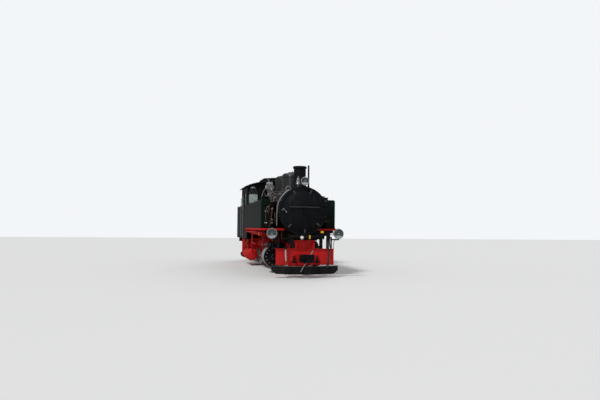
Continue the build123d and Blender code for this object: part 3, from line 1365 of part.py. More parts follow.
def hose_cocks():
    """Cocks at the beams: the front pair that the hoses leave from, and capped cocks at the rear."""
    bx, by, bz = brake_hose_points[0]
    hx, hy, hz = heating_hose_points[0]
    pipe_z = bz + 50
    stand_x = beam_x - 40
    pieces = [bar_x(beam_x - 60, bx, by, pipe_z, 24), bar_z(bz, bz + 80, bx, by, 32)]
    pieces.append(block(bx - 12, bx + 12, by - 12, by + 90, bz + 80, bz + 100))
    pieces.append(block(beam_x - 20, beam_x + 20, by - 26, by + 26, ledge_top, pipe_z))
    pieces += [bar_z(hz, hz + 250, hx, hy, 44), bar_x(stand_x, hx, hy, hz + 180, 34)]
    pieces.append(bar_z(ledge_top, hz + 214, stand_x, hy, 30))
    # Capped ends at the rear
    pieces += [bar_x(-bx, 60 - beam_x, -by, pipe_z, 24), bar_z(bz - 20, bz + 80, -bx, -by, 32)]
    pieces.append(block(-beam_x - 20, 20 - beam_x, -by - 26, 26 - by, ledge_top, pipe_z))
    pieces += [bar_x(-bx, -beam_x, -hy, bz - 150, 34), bar_z(bz - 240, bz - 100, -bx, -hy, 44)]
    return fuse(pieces)


def build_all():
    """Every node's shape by its name."""
    nodes = {
        "main_frame": fuse([main_frame(), keeper_bars(), coupler_pockets(), front_apron()]),
        "axle_boxes": axle_boxes(),
        "buffer_beams": buffer_beams(),
        "ploughs": ploughs(),
        "cylinders": cylinders(),
        "slide_bars": slide_bars(),
        "valve_gear": valve_gear(),
        "brake_gear": brake_gear(),
        "boiler": boiler(),
        "smokebox": smokebox(),
        "chimney": chimney(),
        "domes": domes(),
        "boiler_mountings": boiler_mountings(),
        "bell": bell(),
        "side_tanks": side_tanks(),
        "running_boards": running_boards(),
        "cab_body": cab_body(),
        "cab_roof": cab_roof(),
        "cab_glass": cab_glass(),
        "cab_interior": cab_interior(),
        "coal_bunker": coal_bunker(),
        "bunker_tank": bunker_tank(),
        "pumps": pumps(),
        "generator": generator(),
        "air_reservoirs": air_reservoirs(),
        "front_pipe_stand": front_pipe_stand(),
        "handrails": handrails(),
        "steps": steps(),
        "headlamps": headlamps(),
        "lamp_lenses": lamp_lenses(),
        "pipework": pipework(),
        "ash_pan": ash_pan(),
        "hose_cocks": hose_cocks(),
        "hose_couplings": hose_couplings(),
        "brake_hose": build_cord(brake_hose_points, brake_hose_d),
        "heating_hose": build_cord(heating_hose_points, heating_hose_d),
        "smokebox_door": smokebox_door(),
        "cab_door_left": cab_door(),
        "cab_door_right": right_side(cab_door()),
        "door_glass_left": cab_door_glass(),
        "door_glass_right": right_side(cab_door_glass()),
        "filler_lid_left": filler_lid(),
        "filler_lid_right": right_side(filler_lid()),
        "front_truck": truck_frame(),
        "rear_truck": mirror(truck_frame(), about=Plane.YZ),
        "leading_wheelset": carrying_wheelset(carrying_x),
        "trailing_wheelset": carrying_wheelset(-carrying_x),
        "coupling_rods_left": coupling_rods(left_crank_deg),
        "coupling_rods_right": right_side(coupling_rods(right_crank_deg)),
        "main_rod_left": main_rod(left_crank_deg),
        "main_rod_right": right_side(main_rod(right_crank_deg)),
        "crosshead_left": crosshead(left_crank_deg),
        "crosshead_right": right_side(crosshead(right_crank_deg)),
        "front_coupler": coupler(),
        "rear_coupler": Rot(0, 0, 180) * coupler(),
    }
    for number in range(1, coupled_count + 1):
        nodes[f"coupled_wheelset_{number}"] = coupled_wheelset(number)
    return nodes


os.makedirs("parts", exist_ok=True)
for name, shape in build_all().items():
    export_step(shape, f"parts/{name}.step")
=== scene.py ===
"""A narrow-gauge steam tank locomotive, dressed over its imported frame."""
import logging
import math
from dataclasses import dataclass
from enum import Enum
from typing import Iterable, Protocol, Sequence

import bpy
from mathutils import Matrix, Vector


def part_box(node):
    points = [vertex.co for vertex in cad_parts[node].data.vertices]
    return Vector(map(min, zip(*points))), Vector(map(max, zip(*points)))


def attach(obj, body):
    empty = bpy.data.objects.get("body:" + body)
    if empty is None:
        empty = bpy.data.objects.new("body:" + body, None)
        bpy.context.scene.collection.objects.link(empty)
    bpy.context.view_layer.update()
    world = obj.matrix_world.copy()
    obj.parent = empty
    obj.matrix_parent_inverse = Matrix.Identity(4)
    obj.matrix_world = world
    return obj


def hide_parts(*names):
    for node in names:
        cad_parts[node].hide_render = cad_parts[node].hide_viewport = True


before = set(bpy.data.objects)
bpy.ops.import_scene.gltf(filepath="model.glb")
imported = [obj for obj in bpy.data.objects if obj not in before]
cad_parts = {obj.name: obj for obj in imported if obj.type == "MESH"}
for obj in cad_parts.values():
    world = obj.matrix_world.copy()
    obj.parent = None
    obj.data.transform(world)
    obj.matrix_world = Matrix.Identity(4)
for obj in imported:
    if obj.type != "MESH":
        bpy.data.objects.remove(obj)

Piece = bpy.types.Object
Node = bpy.types.Node
Socket = bpy.types.NodeSocket
Point = tuple[float, float, float]
Colour = tuple[float, float, float]
Row = Sequence[float]
Profile = Sequence[tuple[float, float]]
Run = tuple[float, Sequence[Point]]

log = logging.getLogger("locomotive")
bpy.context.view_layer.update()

RAIL_Z = 0.025
AXLE_Z = RAIL_Z + 0.400
CARRYING_Z = RAIL_Z + 0.275
BOILER_Z = RAIL_Z + 2.060
BOILER_R = 0.720
SMOKEBOX_R = 0.765
RING_X = 4.870
BEAM_X = 5.200
BEAM_TOP = RAIL_Z + 0.860
BEAM_BOTTOM = RAIL_Z + 0.370
COUPLER_Z = RAIL_Z + 0.580
BOARD_TOP = RAIL_Z + 1.500
TANK_FRONT_X = 4.000
CAB_FRONT_X = -0.700
CAB_SIDE_Y = 1.240
BUNKER_BACK_X = -5.050
CYLINDER_Y = 0.706
CYLINDER_Z = RAIL_Z + 0.540
CYLINDER_R = 0.340
VALVE_Y = 0.680
VALVE_Z = CYLINDER_Z + 0.385
COUPLED_X = (2.0, 1.0, 0.0, -1.0, -2.0)
CARRYING_X = {"leading_wheelset": 3.8, "trailing_wheelset": -3.8}
SMOOTH_ANGLE = math.radians(35.0)


class Axis(Enum):
    """Axis of the frame, with its place in a vector."""

    X = 0
    Y = 1
    Z = 2


class Way(Enum):
    """Direction in which a face looks or a piece points."""

    AHEAD = (1.0, 0.0, 0.0)
    BEHIND = (-1.0, 0.0, 0.0)
    LEFT = (0.0, 1.0, 0.0)
    RIGHT = (0.0, -1.0, 0.0)
    UP = (0.0, 0.0, 1.0)
    DOWN = (0.0, 0.0, -1.0)


Spot = tuple[Point, Way]
Block = tuple[Point, Point, float]


class Named(Enum):
    """Choice that the pieces' names mention."""

    @property
    def label(self) -> str:
        """Word for it in the pieces' names."""
        return self.name.lower()


class Side(Named):
    """Side of the locomotive, with the sign of its Y."""

    LEFT = 1
    RIGHT = -1

    @property
    def way(self) -> Way:
        """Direction away from the middle on this side."""
        return Way.LEFT if self is Side.LEFT else Way.RIGHT


class End(Named):
    """End of the locomotive, with the sign of its X."""

    FRONT = 1
    REAR = -1

    @property
    def way(self) -> Way:
        """Direction away from the middle at this end."""
        return Way.AHEAD if self is End.FRONT else Way.BEHIND

    @property
    def turn(self) -> Matrix:
        """Turn that takes a piece from the front to this end."""
        return Matrix.Rotation(0.0 if self is End.FRONT else math.pi, 4, "Z")


# Shader wiring


class Graph:
    """A node tree while it is being wired."""

    def __init__(self, tree: bpy.types.NodeTree) -> None:
        """Take a material's or group's tree and empty it."""
        self.tree = tree
        tree.nodes.clear()

    def node(self, kind: str, **settings: object) -> Node:
        """Add a node.

        Args:
            kind: Blender's name for the node.
            **settings: Attributes to set on it.

        Returns:
            The new node.
        """
        made = self.tree.nodes.new(kind)
        for key, value in settings.items():
            setattr(made, key, value)
        return made

    def feed(self, target: Socket, value: object) -> None:
        """Link a socket into the target, or set a constant on it."""
        if isinstance(value, Socket):
            self.tree.links.new(value, target)
        elif isinstance(value, tuple) and len(value) == 3 and target.type == "RGBA":
            target.default_value = (*value, 1.0)
        else:
            target.default_value = value

    def sum(self, operation: str, *values: object) -> Socket:
        """Combine numbers.

        Args:
            operation: Name of the Math node's operation.
            *values: Sockets or constants, in order.

        Returns:
            The result's socket.
        """
        made = self.node("ShaderNodeMath", operation=operation)
        for socket, value in zip(made.inputs, values):
            self.feed(socket, value)
        return made.outputs[0]

    def blend(self, factor: object, first: object, second: object) -> Socket:
        """Mix two colours by a factor and return the colour socket."""
        made = self.node("ShaderNodeMix", data_type="RGBA")
        self.feed(made.inputs["Factor"], factor)
        self.feed(made.inputs[6], first)
        self.feed(made.inputs[7], second)
        return made.outputs[2]

    def spread(self, value: object, low: float, high: float, to_low: float = 0.0,
               to_high: float = 1.0) -> Socket:
        """Ease a value between two levels.

        Args:
            value: Socket to map.
            low: Level that gives to_low.
            high: Level that gives to_high.
            to_low: Result at and below the low level.
            to_high: Result at and above the high level.

        Returns:
            The eased value's socket.
        """
        made = self.node("ShaderNodeMapRange", interpolation_type="SMOOTHSTEP")
        for socket, item in zip(made.inputs, (value, low, high, to_low, to_high)):
            self.feed(socket, item)
        return made.outputs[0]

    def noise(self, vector: object, scale: float, detail: float = 3.0) -> Socket:
        """Noise value on a vector at a scale."""
        made = self.node("ShaderNodeTexNoise")
        self.feed(made.inputs["Vector"], vector)
        made.inputs["Scale"].default_value = scale
        made.inputs["Detail"].default_value = detail
        return made.outputs["Fac"]

    def stretched(self, vector: object, scale: Point) -> Socket:
        """Vector scaled by three factors."""
        made = self.node("ShaderNodeMapping")
        self.feed(made.inputs["Vector"], vector)
        made.inputs["Scale"].default_value = scale
        return made.outputs["Vector"]

    def place(self, source: str = "Object") -> Socket:
        """An output of the Texture Coordinate node, of which the graph has one."""
        known = self.tree.nodes.get("coordinates") or self.node("ShaderNodeTexCoord", name="coordinates")
        return known.outputs[source]

    def axes(self, vector: Socket) -> Sequence[Socket]:
        """X, Y and Z of a vector."""
        split = self.node("ShaderNodeSeparateXYZ")
        self.feed(split.inputs[0], vector)
        return split.outputs


def painted(name: str) -> tuple[bpy.types.Material, Graph, Node]:
    """Start a material.

    Args:
        name: The material's name.

    Returns:
        The material, its graph and its Principled BSDF.
    """
    made = bpy.data.materials.new(name)
    made.use_nodes = True
    graph = Graph(made.node_tree)
    shader = graph.node("ShaderNodeBsdfPrincipled")
    end = graph.node("ShaderNodeOutputMaterial")
    graph.feed(end.inputs["Surface"], shader.outputs[0])
    return made, graph, shader


def make_group(name: str, inputs: Sequence[tuple[str, str]],
               outputs: Sequence[tuple[str, str]]) -> tuple[Graph, Node, Node]:
    """Start a shader node group.

    Args:
        name: The group's name.
        inputs: Name and socket type of each input.
        outputs: Name and socket type of each output.

    Returns:
        The graph, its input node and its output node.
    """
    tree = bpy.data.node_groups.new(name, "ShaderNodeTree")
    for label, kind in inputs:
        tree.interface.new_socket(label, in_out="INPUT", socket_type=kind)
    for label, kind in outputs:
        tree.interface.new_socket(label, in_out="OUTPUT", socket_type=kind)
    graph = Graph(tree)
    return graph, graph.node("NodeGroupInput"), graph.node("NodeGroupOutput")


FLOAT = "NodeSocketFloat"
COLOUR = "NodeSocketColor"


def weather_group() -> bpy.types.NodeTree:
    """Track dust low down, soot on upward faces, rain streaks down the sides and grain in the finish.

    Returns:
        The group, with Paint, Dirt, Dust, Streaks and Grain in, and Colour, Matt and Height out.
    """
    known = bpy.data.node_groups.get("weather")
    if known:
        return known
    inputs = [("Paint", COLOUR), ("Dirt", COLOUR), ("Dust", FLOAT), ("Streaks", FLOAT), ("Grain", FLOAT)]
    outputs = [("Colour", COLOUR), ("Matt", FLOAT), ("Height", FLOAT)]
    graph, start, end = make_group("weather", inputs, outputs)
    paint, dirt, dust, streaks, grain = (start.outputs[n] for n in range(5))
    here = graph.place()
    low = graph.spread(graph.axes(here)[2], 0.05, 1.70, 1.0, 0.0)
    # Upward faces take the dirt colour; on the domes, with a pale dirt colour, this is also a painted sheen.
    upward = graph.spread(graph.axes(graph.place("Normal"))[2], 0.30, 0.90)
    cloud = graph.noise(here, 1.7, 5.0)
    fine = graph.noise(here, 34.0, 4.0)
    speck = graph.noise(here, 160.0, 2.0)
    rain = graph.noise(graph.stretched(here, (11.0, 11.0, 0.55)), 1.0, 4.0)
    lying = graph.sum("ADD", graph.sum("MULTIPLY", low, 0.62), graph.sum("MULTIPLY", upward, 0.58))
    lying = graph.sum("ADD", lying, 0.16)
    patch = graph.sum("MULTIPLY", graph.spread(cloud, 0.30, 0.68), graph.spread(fine, 0.18, 0.72, 0.45, 1.0))
    loose = graph.sum("MULTIPLY", graph.sum("MULTIPLY", lying, patch), dust)
    run = graph.sum("MULTIPLY", graph.spread(rain, 0.52, 0.70), graph.sum("SUBTRACT", 1.0, upward))
    broken = graph.spread(cloud, 0.25, 0.65, 0.3, 1.0)
    run = graph.sum("MULTIPLY", graph.sum("MULTIPLY", run, streaks), broken)
    cover = graph.sum("MINIMUM", graph.sum("ADD", loose, run), 0.93)
    shade = graph.node("ShaderNodeHueSaturation")
    graph.feed(shade.inputs["Value"], graph.spread(cloud, 0.2, 0.8, 0.86, 1.14))
    graph.feed(shade.inputs["Color"], paint)
    graph.feed(end.inputs["Colour"], graph.blend(cover, shade.outputs[0], dirt))
    uneven = graph.sum("MULTIPLY", graph.spread(fine, 0.3, 0.7), 0.10)
    graph.feed(end.inputs["Matt"], graph.sum("ADD", graph.sum("MULTIPLY", cover, 0.42), uneven))
    rough = graph.sum("MULTIPLY", graph.sum("ADD", fine, graph.sum("MULTIPLY", speck, 0.4)), grain)
    graph.feed(end.inputs["Height"], rough)
    return graph.tree


@dataclass(frozen=True)
class Finish:
    """What every finish has: a name, a colour and how it takes light.

    Attributes:
        name: The material's name.
        colour: Clean base colour, linear.
        roughness: Roughness of the clean surface.
        metallic: Metal share.
        dirt: Colour of what lies on it.
        dust: How much dust lies on it.
        streaks: How strong the rain streaks are.
        grain: Height of the surface grain.
        edge: Radius that its edges catch the light at, in metres.
        wear: Colour that shows along worn edges.
        worn: How far the wear goes, from 0 to 1.
        slot: Name of the material slot that it belongs to; not used.
        shine: Level of its plain reflection, where 0.5 is common.
    """

    name: str
    colour: Colour
    roughness: float = 0.4
    metallic: float = 0.0
    dirt: Colour = (0.16, 0.135, 0.11)
    dust: float = 0.5
    streaks: float = 0.25
    grain: float = 0.5
    edge: float = 0.004
    wear: Colour = (0.20, 0.17, 0.15)
    worn: float = 0.35
    slot: str = "black_paint"
    shine: float = 0.22

    def paint_socket(self, graph: Graph) -> object:
        """Clean colour as a socket or a constant."""
        return self.colour

    def dress(self, graph: Graph, shader: Node) -> None:
        """Wire colour, roughness and bump into the shader.

        Args:
            graph: The material's graph.
            shader: Its Principled BSDF.
        """
        group = graph.node("ShaderNodeGroup")
        group.node_tree = weather_group()
        for label, value in (("Paint", self.paint_socket(graph)), ("Dirt", self.dirt), ("Dust", self.dust),
                             ("Streaks", self.streaks), ("Grain", self.grain)):
            graph.feed(group.inputs[label], value)
        colour = group.outputs["Colour"]
        bevel = graph.node("ShaderNodeBevel", samples=3)
        bevel.inputs["Radius"].default_value = self.edge
        if self.worn > 0:
            colour = graph.blend(self.edge_mask(graph, bevel), colour, self.wear)
        graph.feed(shader.inputs["Base Color"], colour)
        graph.feed(shader.inputs["Roughness"], graph.sum("ADD", group.outputs["Matt"], self.roughness))
        bump = graph.node("ShaderNodeBump")
        bump.inputs["Distance"].default_value = 0.0012
        bump.inputs["Strength"].default_value = 0.6
        graph.feed(bump.inputs["Height"], group.outputs["Height"])
        graph.feed(bump.inputs["Normal"], bevel.outputs[0])
        graph.feed(shader.inputs["Normal"], bump.outputs[0])

    def edge_mask(self, graph: Graph, bevel: Node) -> Socket:
        """Broken line along edges, where paint has gone.

        Args:
            graph: The material's graph.
            bevel: The bevel node that rounds the edges.

        Returns:
            The mask's socket.
        """
        flat = graph.node("ShaderNodeNewGeometry")
        dot = graph.node("ShaderNodeVectorMath", operation="DOT_PRODUCT")
        graph.feed(dot.inputs[0], bevel.outputs[0])
        graph.feed(dot.inputs[1], flat.outputs["Normal"])
        broken = graph.spread(graph.noise(graph.place(), 21.0, 5.0), 0.47, 0.60)
        line = graph.spread(dot.outputs["Value"], 0.985, 0.90)
        return graph.sum("MULTIPLY", graph.sum("MULTIPLY", line, broken), self.worn)

    def constants(self) -> dict[str, float]:
        """Values that stand on the shader's own sockets."""
        return {"Metallic": self.metallic, "Specular IOR Level": self.shine}

    def material(self) -> bpy.types.Material:
        """The finish as a material, made once.

        Returns:
            The material.
        """
        known = bpy.data.materials.get(self.name)
        if known:
            return known
        made, graph, shader = painted(self.name)
        for label, value in self.constants().items():
            shader.inputs[label].default_value = value
        self.dress(graph, shader)
        return made


@dataclass(frozen=True)
class WheelFinish(Finish):
    """Painted wheel centres inside a bare tyre, told apart by the distance from the axle.

    Attributes:
        axle: The axle's X and Z.
        rim: Radius at which the paint stops.
        tread: Radius of the tread.
        pin_y: Distance from the middle past which only the steel crank pin is left.
        dull: Colour of the tyre's side.
        bright: Colour of the tread.
        pin: Colour of the crank pin.
    """

    axle: tuple[float, float] = (0.0, AXLE_Z)
    rim: float = 0.345
    tread: float = 0.400
    pin_y: float = 0.566
    dull: Colour = (0.115, 0.10, 0.09)
    bright: Colour = (0.42, 0.41, 0.40)
    pin: Colour = (0.40, 0.39, 0.37)

    def paint_socket(self, graph: Graph) -> object:
        """Paint inside the rim, and worn steel on the tread and flange."""
        here = graph.place()
        moved = graph.node("ShaderNodeVectorMath", operation="SUBTRACT")
        graph.feed(moved.inputs[0], here)
        moved.inputs[1].default_value = (self.axle[0], 0.0, self.axle[1])
        flat = graph.node("ShaderNodeVectorMath", operation="LENGTH")
        graph.feed(flat.inputs[0], graph.stretched(moved.outputs[0], (1.0, 0.0, 1.0)))
        away = flat.outputs["Value"]
        uneven = graph.spread(graph.noise(here, 26.0), 0.2, 0.8, -0.004, 0.004)
        tyre = graph.spread(graph.sum("ADD", away, uneven), self.rim, self.rim + 0.006)
        bare = graph.spread(away, self.tread - 0.004, self.tread - 0.001)
        wheel = graph.blend(tyre, self.colour, graph.blend(bare, self.dull, self.bright))
        past = graph.sum("GREATER_THAN", graph.sum("ABSOLUTE", graph.axes(here)[1]), self.pin_y)
        return graph.blend(past, wheel, self.pin)


@dataclass(frozen=True)
class TwoPartFinish(Finish):
    """A node painted in one finish up to a level on one axis, and in another past it.

    Attributes:
        axis: The axis.
        level: Place along it where the finish changes.
        other: Colour past the level.
        other_metallic: Metal share past the level.
    """

    axis: Axis = Axis.Z
    level: float = 0.0
    other: Colour = (0.0, 0.0, 0.0)
    other_metallic: float = 0.0

    def past(self, graph: Graph) -> Socket:
        """Mask of what lies past the level."""
        return graph.sum("GREATER_THAN", graph.axes(graph.place())[self.axis.value], self.level)

    def paint_socket(self, graph: Graph) -> object:
        """One colour up to the level and the other past it."""
        return graph.blend(self.past(graph), self.colour, self.other)

    def dress(self, graph: Graph, shader: Node) -> None:
        """Wire the shader, with the metal share changing at the level too.

        Args:
            graph: The material's graph.
            shader: Its Principled BSDF.
        """
        super().dress(graph, shader)
        if self.other_metallic != self.metallic:
            share = graph.spread(self.past(graph), 0.0, 1.0, self.metallic, self.other_metallic)
            graph.feed(shader.inputs["Metallic"], share)


@dataclass(frozen=True)
class BoardPaintAndShadeFinish(TwoPartFinish):
    """Board paint: red edges and brackets under a near-black top, with painted shade on downward faces and on
    plates behind the front.

    Attributes:
        shaded_x: Place along X past which plates that look ahead get painted shade.
    """

    shaded_x: float = 4.0

    def past(self, graph: Graph) -> Socket:
        """Mask of the near-black top and of the painted shade."""
        x, _, z = graph.axes(graph.place())
        facing_x, _, facing_z = graph.axes(graph.place("Normal"))
        # Painted shade: faces that look down, and low plates that look ahead past shaded_x, take the
        # near-black colour.
        under = graph.sum("LESS_THAN", facing_z, -0.5)
        ahead = graph.sum("MULTIPLY", graph.sum("GREATER_THAN", facing_x, 0.7),
                          graph.sum("GREATER_THAN", x, self.shaded_x))
        inside = graph.sum("LESS_THAN", z, BOARD_TOP - 0.062)
        painted_shade_mask = graph.sum("MAXIMUM", under, graph.sum("MULTIPLY", ahead, inside))
        return graph.sum("MAXIMUM", super().past(graph), painted_shade_mask)


@dataclass(frozen=True)
class SteelFinish(Finish):
    """Bright rods and bars, drawn along their length, with oil in the corners."""

    def paint_socket(self, graph: Graph) -> object:
        """Steel with fine drawn lines and brown oil patches."""
        lines = graph.noise(graph.stretched(graph.place(), (3.0, 190.0, 190.0)), 1.0, 2.0)
        oil = graph.spread(graph.noise(graph.place(), 5.5, 5.0), 0.50, 0.68)
        drawn = graph.blend(lines, tuple(0.72 * c for c in self.colour), self.colour)
        return graph.blend(graph.sum("MULTIPLY", oil, 0.55), drawn, (0.10, 0.075, 0.05))


@dataclass(frozen=True)
class PaintedReflectionBowlFinish(Finish):
    """Lamp bowl: dull above, with a painted bright reflection below."""

    # Colour of the painted reflection.
    bright: Colour = (0.86, 0.92, 0.98)

    def paint_socket(self, graph: Graph) -> object:
        """Dull colour above and the painted reflection below."""
        # Painted reflection: faces that look up, in the bowl's lower half, take the bright colour.
        upward = graph.spread(graph.axes(graph.place("Normal"))[2], 0.07, 0.17)
        return graph.blend(upward, self.colour, self.bright)


@dataclass(frozen=True)
class HoseFinish(Finish):
    """Rubber hose with a faint fabric weave under the skin."""

    def dress(self, graph: Graph, shader: Node) -> None:
        """Wire the weave and the dust of a used hose.

        Args:
            graph: The material's graph.
            shader: Its Principled BSDF.
        """
        dusty = graph.spread(graph.noise(graph.place(), 13.0, 5.0), 0.35, 0.75)
        covered = graph.sum("MULTIPLY", dusty, self.dust)
        graph.feed(shader.inputs["Base Color"], graph.blend(covered, self.colour, self.dirt))
        rough = graph.spread(dusty, 0.0, 1.0, self.roughness, self.roughness + 0.25)
        graph.feed(shader.inputs["Roughness"], rough)
        weave = graph.node("ShaderNodeTexWave", wave_type="BANDS", bands_direction="Z")
        weave.inputs["Scale"].default_value = 46.0
        weave.inputs["Distortion"].default_value = 0.6
        graph.feed(weave.inputs["Vector"], graph.place())
        bump = graph.node("ShaderNodeBump")
        bump.inputs["Distance"].default_value = 0.0010
        bump.inputs["Strength"].default_value = 0.7
        graph.feed(bump.inputs["Height"], weave.outputs["Fac"])
        graph.feed(shader.inputs["Normal"], bump.outputs[0])


@dataclass(frozen=True)
class GlassFinish(Finish):
    """Clear pane with a film of dust towards its edges.

    Attributes:
        film: Share of light that a thin glass stops, or 0 for a pane that refracts.
    """

    film: float = 0.0

    def constants(self) -> dict[str, float]:
        """Values of a thin film, or of a pane that refracts."""
        return {"Transmission Weight": 0.0 if self.film else 1.0, "Alpha": self.film or 1.0, "IOR": 1.45}

    def dress(self, graph: Graph, shader: Node) -> None:
        """Wire the film of dust.

        Args:
            graph: The material's graph.
            shader: Its Principled BSDF.
        """
        film = graph.spread(graph.noise(graph.place(), 3.1, 5.0), 0.42, 0.80)
        graph.feed(shader.inputs["Base Color"], graph.blend(film, self.colour, self.dirt))
        rough = graph.spread(film, 0.0, 1.0, self.roughness, self.roughness + 0.22)
        graph.feed(shader.inputs["Roughness"], rough)


BLACK = Finish(
    "gloss_black_paint", (0.0055, 0.0060, 0.0066), roughness=0.30, dust=0.20, streaks=0.10,
    dirt=(0.070, 0.062, 0.055), wear=(0.11, 0.09, 0.075), worn=0.55, grain=0.35, shine=0.10)
# Black paint whose colour and dirt carry a green tint, a painted reflection of green surroundings.
TANK_BLACK_AND_GREEN_REFLECTION = Finish(
    "tank_black_painted_green_reflection", (0.0050, 0.0118, 0.0086), roughness=0.26, dust=0.10, streaks=0.22,
    dirt=(0.030, 0.040, 0.032), wear=(0.11, 0.09, 0.07), worn=0.4, grain=0.25, shine=0.04)
BOILER_BLACK = Finish(
    "boiler_cladding_black", (0.0075, 0.0080, 0.0088), roughness=0.24, dust=0.34, streaks=0.12,
    dirt=(0.110, 0.105, 0.100), grain=0.30, worn=0.35, slot="boiler_black", shine=0.45)
# Its high dust and pale dirt colour lighten the domes' upward faces: partly dust, partly a painted sheen.
DOME_DUST_AND_PAINTED_SHEEN = Finish(
    "dome_black_dust_and_painted_sheen", (0.0105, 0.0110, 0.0120), roughness=0.22, dust=0.75, streaks=0.25,
    dirt=(0.150, 0.148, 0.145), grain=0.30, worn=0.35, slot="boiler_black", shine=0.6)
SMOKEBOX_BLACK = Finish(
    "smokebox_heat_black", (0.0042, 0.0050, 0.0072), roughness=0.36, dust=0.12, streaks=0.12,
    dirt=(0.060, 0.056, 0.054), grain=0.7, worn=0.45, slot="smokebox_black", shine=0.20)
FRAME_RED = Finish(
    "frame_red_paint", (0.530, 0.0075, 0.0085), roughness=0.36, dust=0.26, streaks=0.20,
    dirt=(0.085, 0.045, 0.032), wear=(0.14, 0.08, 0.06), worn=0.5, slot="red_paint", shine=0.16)
# Its other colour is the boards' near-black top and also the painted shade under them and behind the front.
BOARD_RED = BoardPaintAndShadeFinish(
    "board_edge_red", (0.530, 0.0075, 0.0085), roughness=0.38, dust=0.26, streaks=0.22,
    dirt=(0.085, 0.050, 0.036), wear=(0.14, 0.08, 0.06), worn=0.5, slot="red_paint", shine=0.16, axis=Axis.Z,
    level=BOARD_TOP - 0.002, other=(0.010, 0.010, 0.011))
ROOF_GREY = Finish(
    "sooty_roof_paint", (0.012, 0.013, 0.014), roughness=0.50, dust=0.45, streaks=0.30,
    dirt=(0.045, 0.043, 0.040), grain=0.9, slot="roof_grey")
CAB_PAINT = Finish(
    "cab_inside_paint", (0.18, 0.20, 0.17), roughness=0.45, dust=0.35, dirt=(0.07, 0.06, 0.05),
    slot="cab_fittings")
BRIGHT_STEEL = SteelFinish(
    "oiled_bright_steel", (0.58, 0.57, 0.55), roughness=0.28, metallic=0.75, dust=0.35, streaks=0.05,
    dirt=(0.10, 0.08, 0.06), worn=0.0, grain=0.25, slot="bright_steel")
SLIDE_STEEL = TwoPartFinish(
    "slide_bar_steel", (0.530, 0.0075, 0.0085), roughness=0.30, dust=0.35, streaks=0.10,
    dirt=(0.09, 0.06, 0.045), worn=0.2, slot="bright_steel", axis=Axis.X, level=1.565,
    other=(0.50, 0.49, 0.47), other_metallic=1.0)
GREY_METAL = Finish(
    "bare_grey_metal", (0.36, 0.37, 0.38), roughness=0.32, metallic=0.65, dust=0.40, streaks=0.2,
    dirt=(0.13, 0.12, 0.10), worn=0.2, slot="grey_metal")
# Pale colour that paints the sunlit highlight on the cylinders' casing and the generator's box.
PALE_CASING_PAINTED_HIGHLIGHT = Finish(
    "pale_casing_painted_highlight", (0.46, 0.47, 0.47), roughness=0.30, metallic=0.35, dust=0.40, streaks=0.3,
    dirt=(0.11, 0.095, 0.08), worn=0.2, slot="grey_metal")
BRASS = Finish(
    "dull_brass", (0.56, 0.38, 0.13), roughness=0.30, metallic=1.0, dust=0.50, streaks=0.15,
    dirt=(0.12, 0.09, 0.055), worn=0.0, slot="brass")
COPPER = Finish(
    "copper_pipe", (0.44, 0.25, 0.165), roughness=0.34, metallic=1.0, dust=0.60, streaks=0.2,
    dirt=(0.11, 0.062, 0.042), worn=0.0, slot="brass")
TOP_PIPES = TwoPartFinish(
    "smokebox_pipes", (0.115, 0.085, 0.070), roughness=0.36, metallic=0.6, dust=0.5, streaks=0.2,
    dirt=(0.10, 0.075, 0.058), worn=0.2, slot="brass", axis=Axis.Y, level=0.10,
    other=(0.0080, 0.0082, 0.0090), other_metallic=0.0)
END_FITTINGS = TwoPartFinish(
    "hose_end_metal", (0.52, 0.36, 0.14), roughness=0.32, metallic=1.0, dust=0.45, streaks=0.1,
    dirt=(0.12, 0.09, 0.06), worn=0.1, slot="brass", axis=Axis.Y, level=0.0, other=(0.020, 0.020, 0.021),
    other_metallic=0.0)
ASH_BLACK = Finish(
    "scorched_plate", (0.030, 0.028, 0.026), roughness=0.62, dust=0.9, streaks=0.4, dirt=(0.14, 0.11, 0.085),
    grain=1.2)
BRAKE_HOSE = HoseFinish(
    "grey_brake_hose", (0.36, 0.37, 0.37), roughness=0.55, dust=0.5, dirt=(0.20, 0.18, 0.15),
    slot="brake_hose_rubber")
HEATING_HOSE = HoseFinish(
    "black_heating_hose", (0.018, 0.018, 0.019), roughness=0.50, dust=0.45, dirt=(0.10, 0.09, 0.08),
    slot="heating_hose_rubber")
WINDOW_GLASS = GlassFinish(
    "cab_window_glass", (0.62, 0.68, 0.66), roughness=0.03, dirt=(0.42, 0.42, 0.38), slot="window_glass")
LAMP_GLASS = GlassFinish(
    "headlamp_glass", (0.06, 0.075, 0.072), roughness=0.03, dirt=(0.14, 0.15, 0.145), slot="lamp_glass",
    film=0.20)
# A painted reflection in place of the bowl's mirror: bright below, dull above.
BOWL_PAINTED_REFLECTION = PaintedReflectionBowlFinish(
    "lamp_bowl_painted_reflection", (0.105, 0.135, 0.130), roughness=0.20, metallic=0.1, dust=0.10, streaks=0.0, worn=0.0,
    grain=0.0, dirt=(0.20, 0.21, 0.20), slot="grey_metal")
PALE_STEEL = Finish(
    "pale_bare_steel", (0.56, 0.55, 0.52), roughness=0.26, metallic=0.85, dust=0.30, streaks=0.1,
    dirt=(0.16, 0.13, 0.10), worn=0.0, grain=0.2, slot="grey_metal")
WORN_BLACK = Finish(
    "worn_black_edge", (0.060, 0.060, 0.062), roughness=0.34, metallic=0.3, dust=0.4,
    dirt=(0.12, 0.105, 0.095), worn=0.8)
CHROME = Finish(
    "polished_lamp_rim", (0.62, 0.63, 0.64), roughness=0.14, metallic=0.6, dust=0.22, streaks=0.05,
    dirt=(0.20, 0.18, 0.15), worn=0.0, grain=0.1, slot="grey_metal")
PLAIN_YELLOW = Finish(
    "plain_yellow_enamel", (0.75, 0.42, 0.02), roughness=0.35, dust=0.3, dirt=(0.25, 0.17, 0.08),
    slot="brass")
PLAIN_WHITE = Finish(
    "plain_white_enamel", (0.70, 0.69, 0.64), roughness=0.35, dust=0.3, dirt=(0.30, 0.27, 0.22),
    slot="grey_metal")

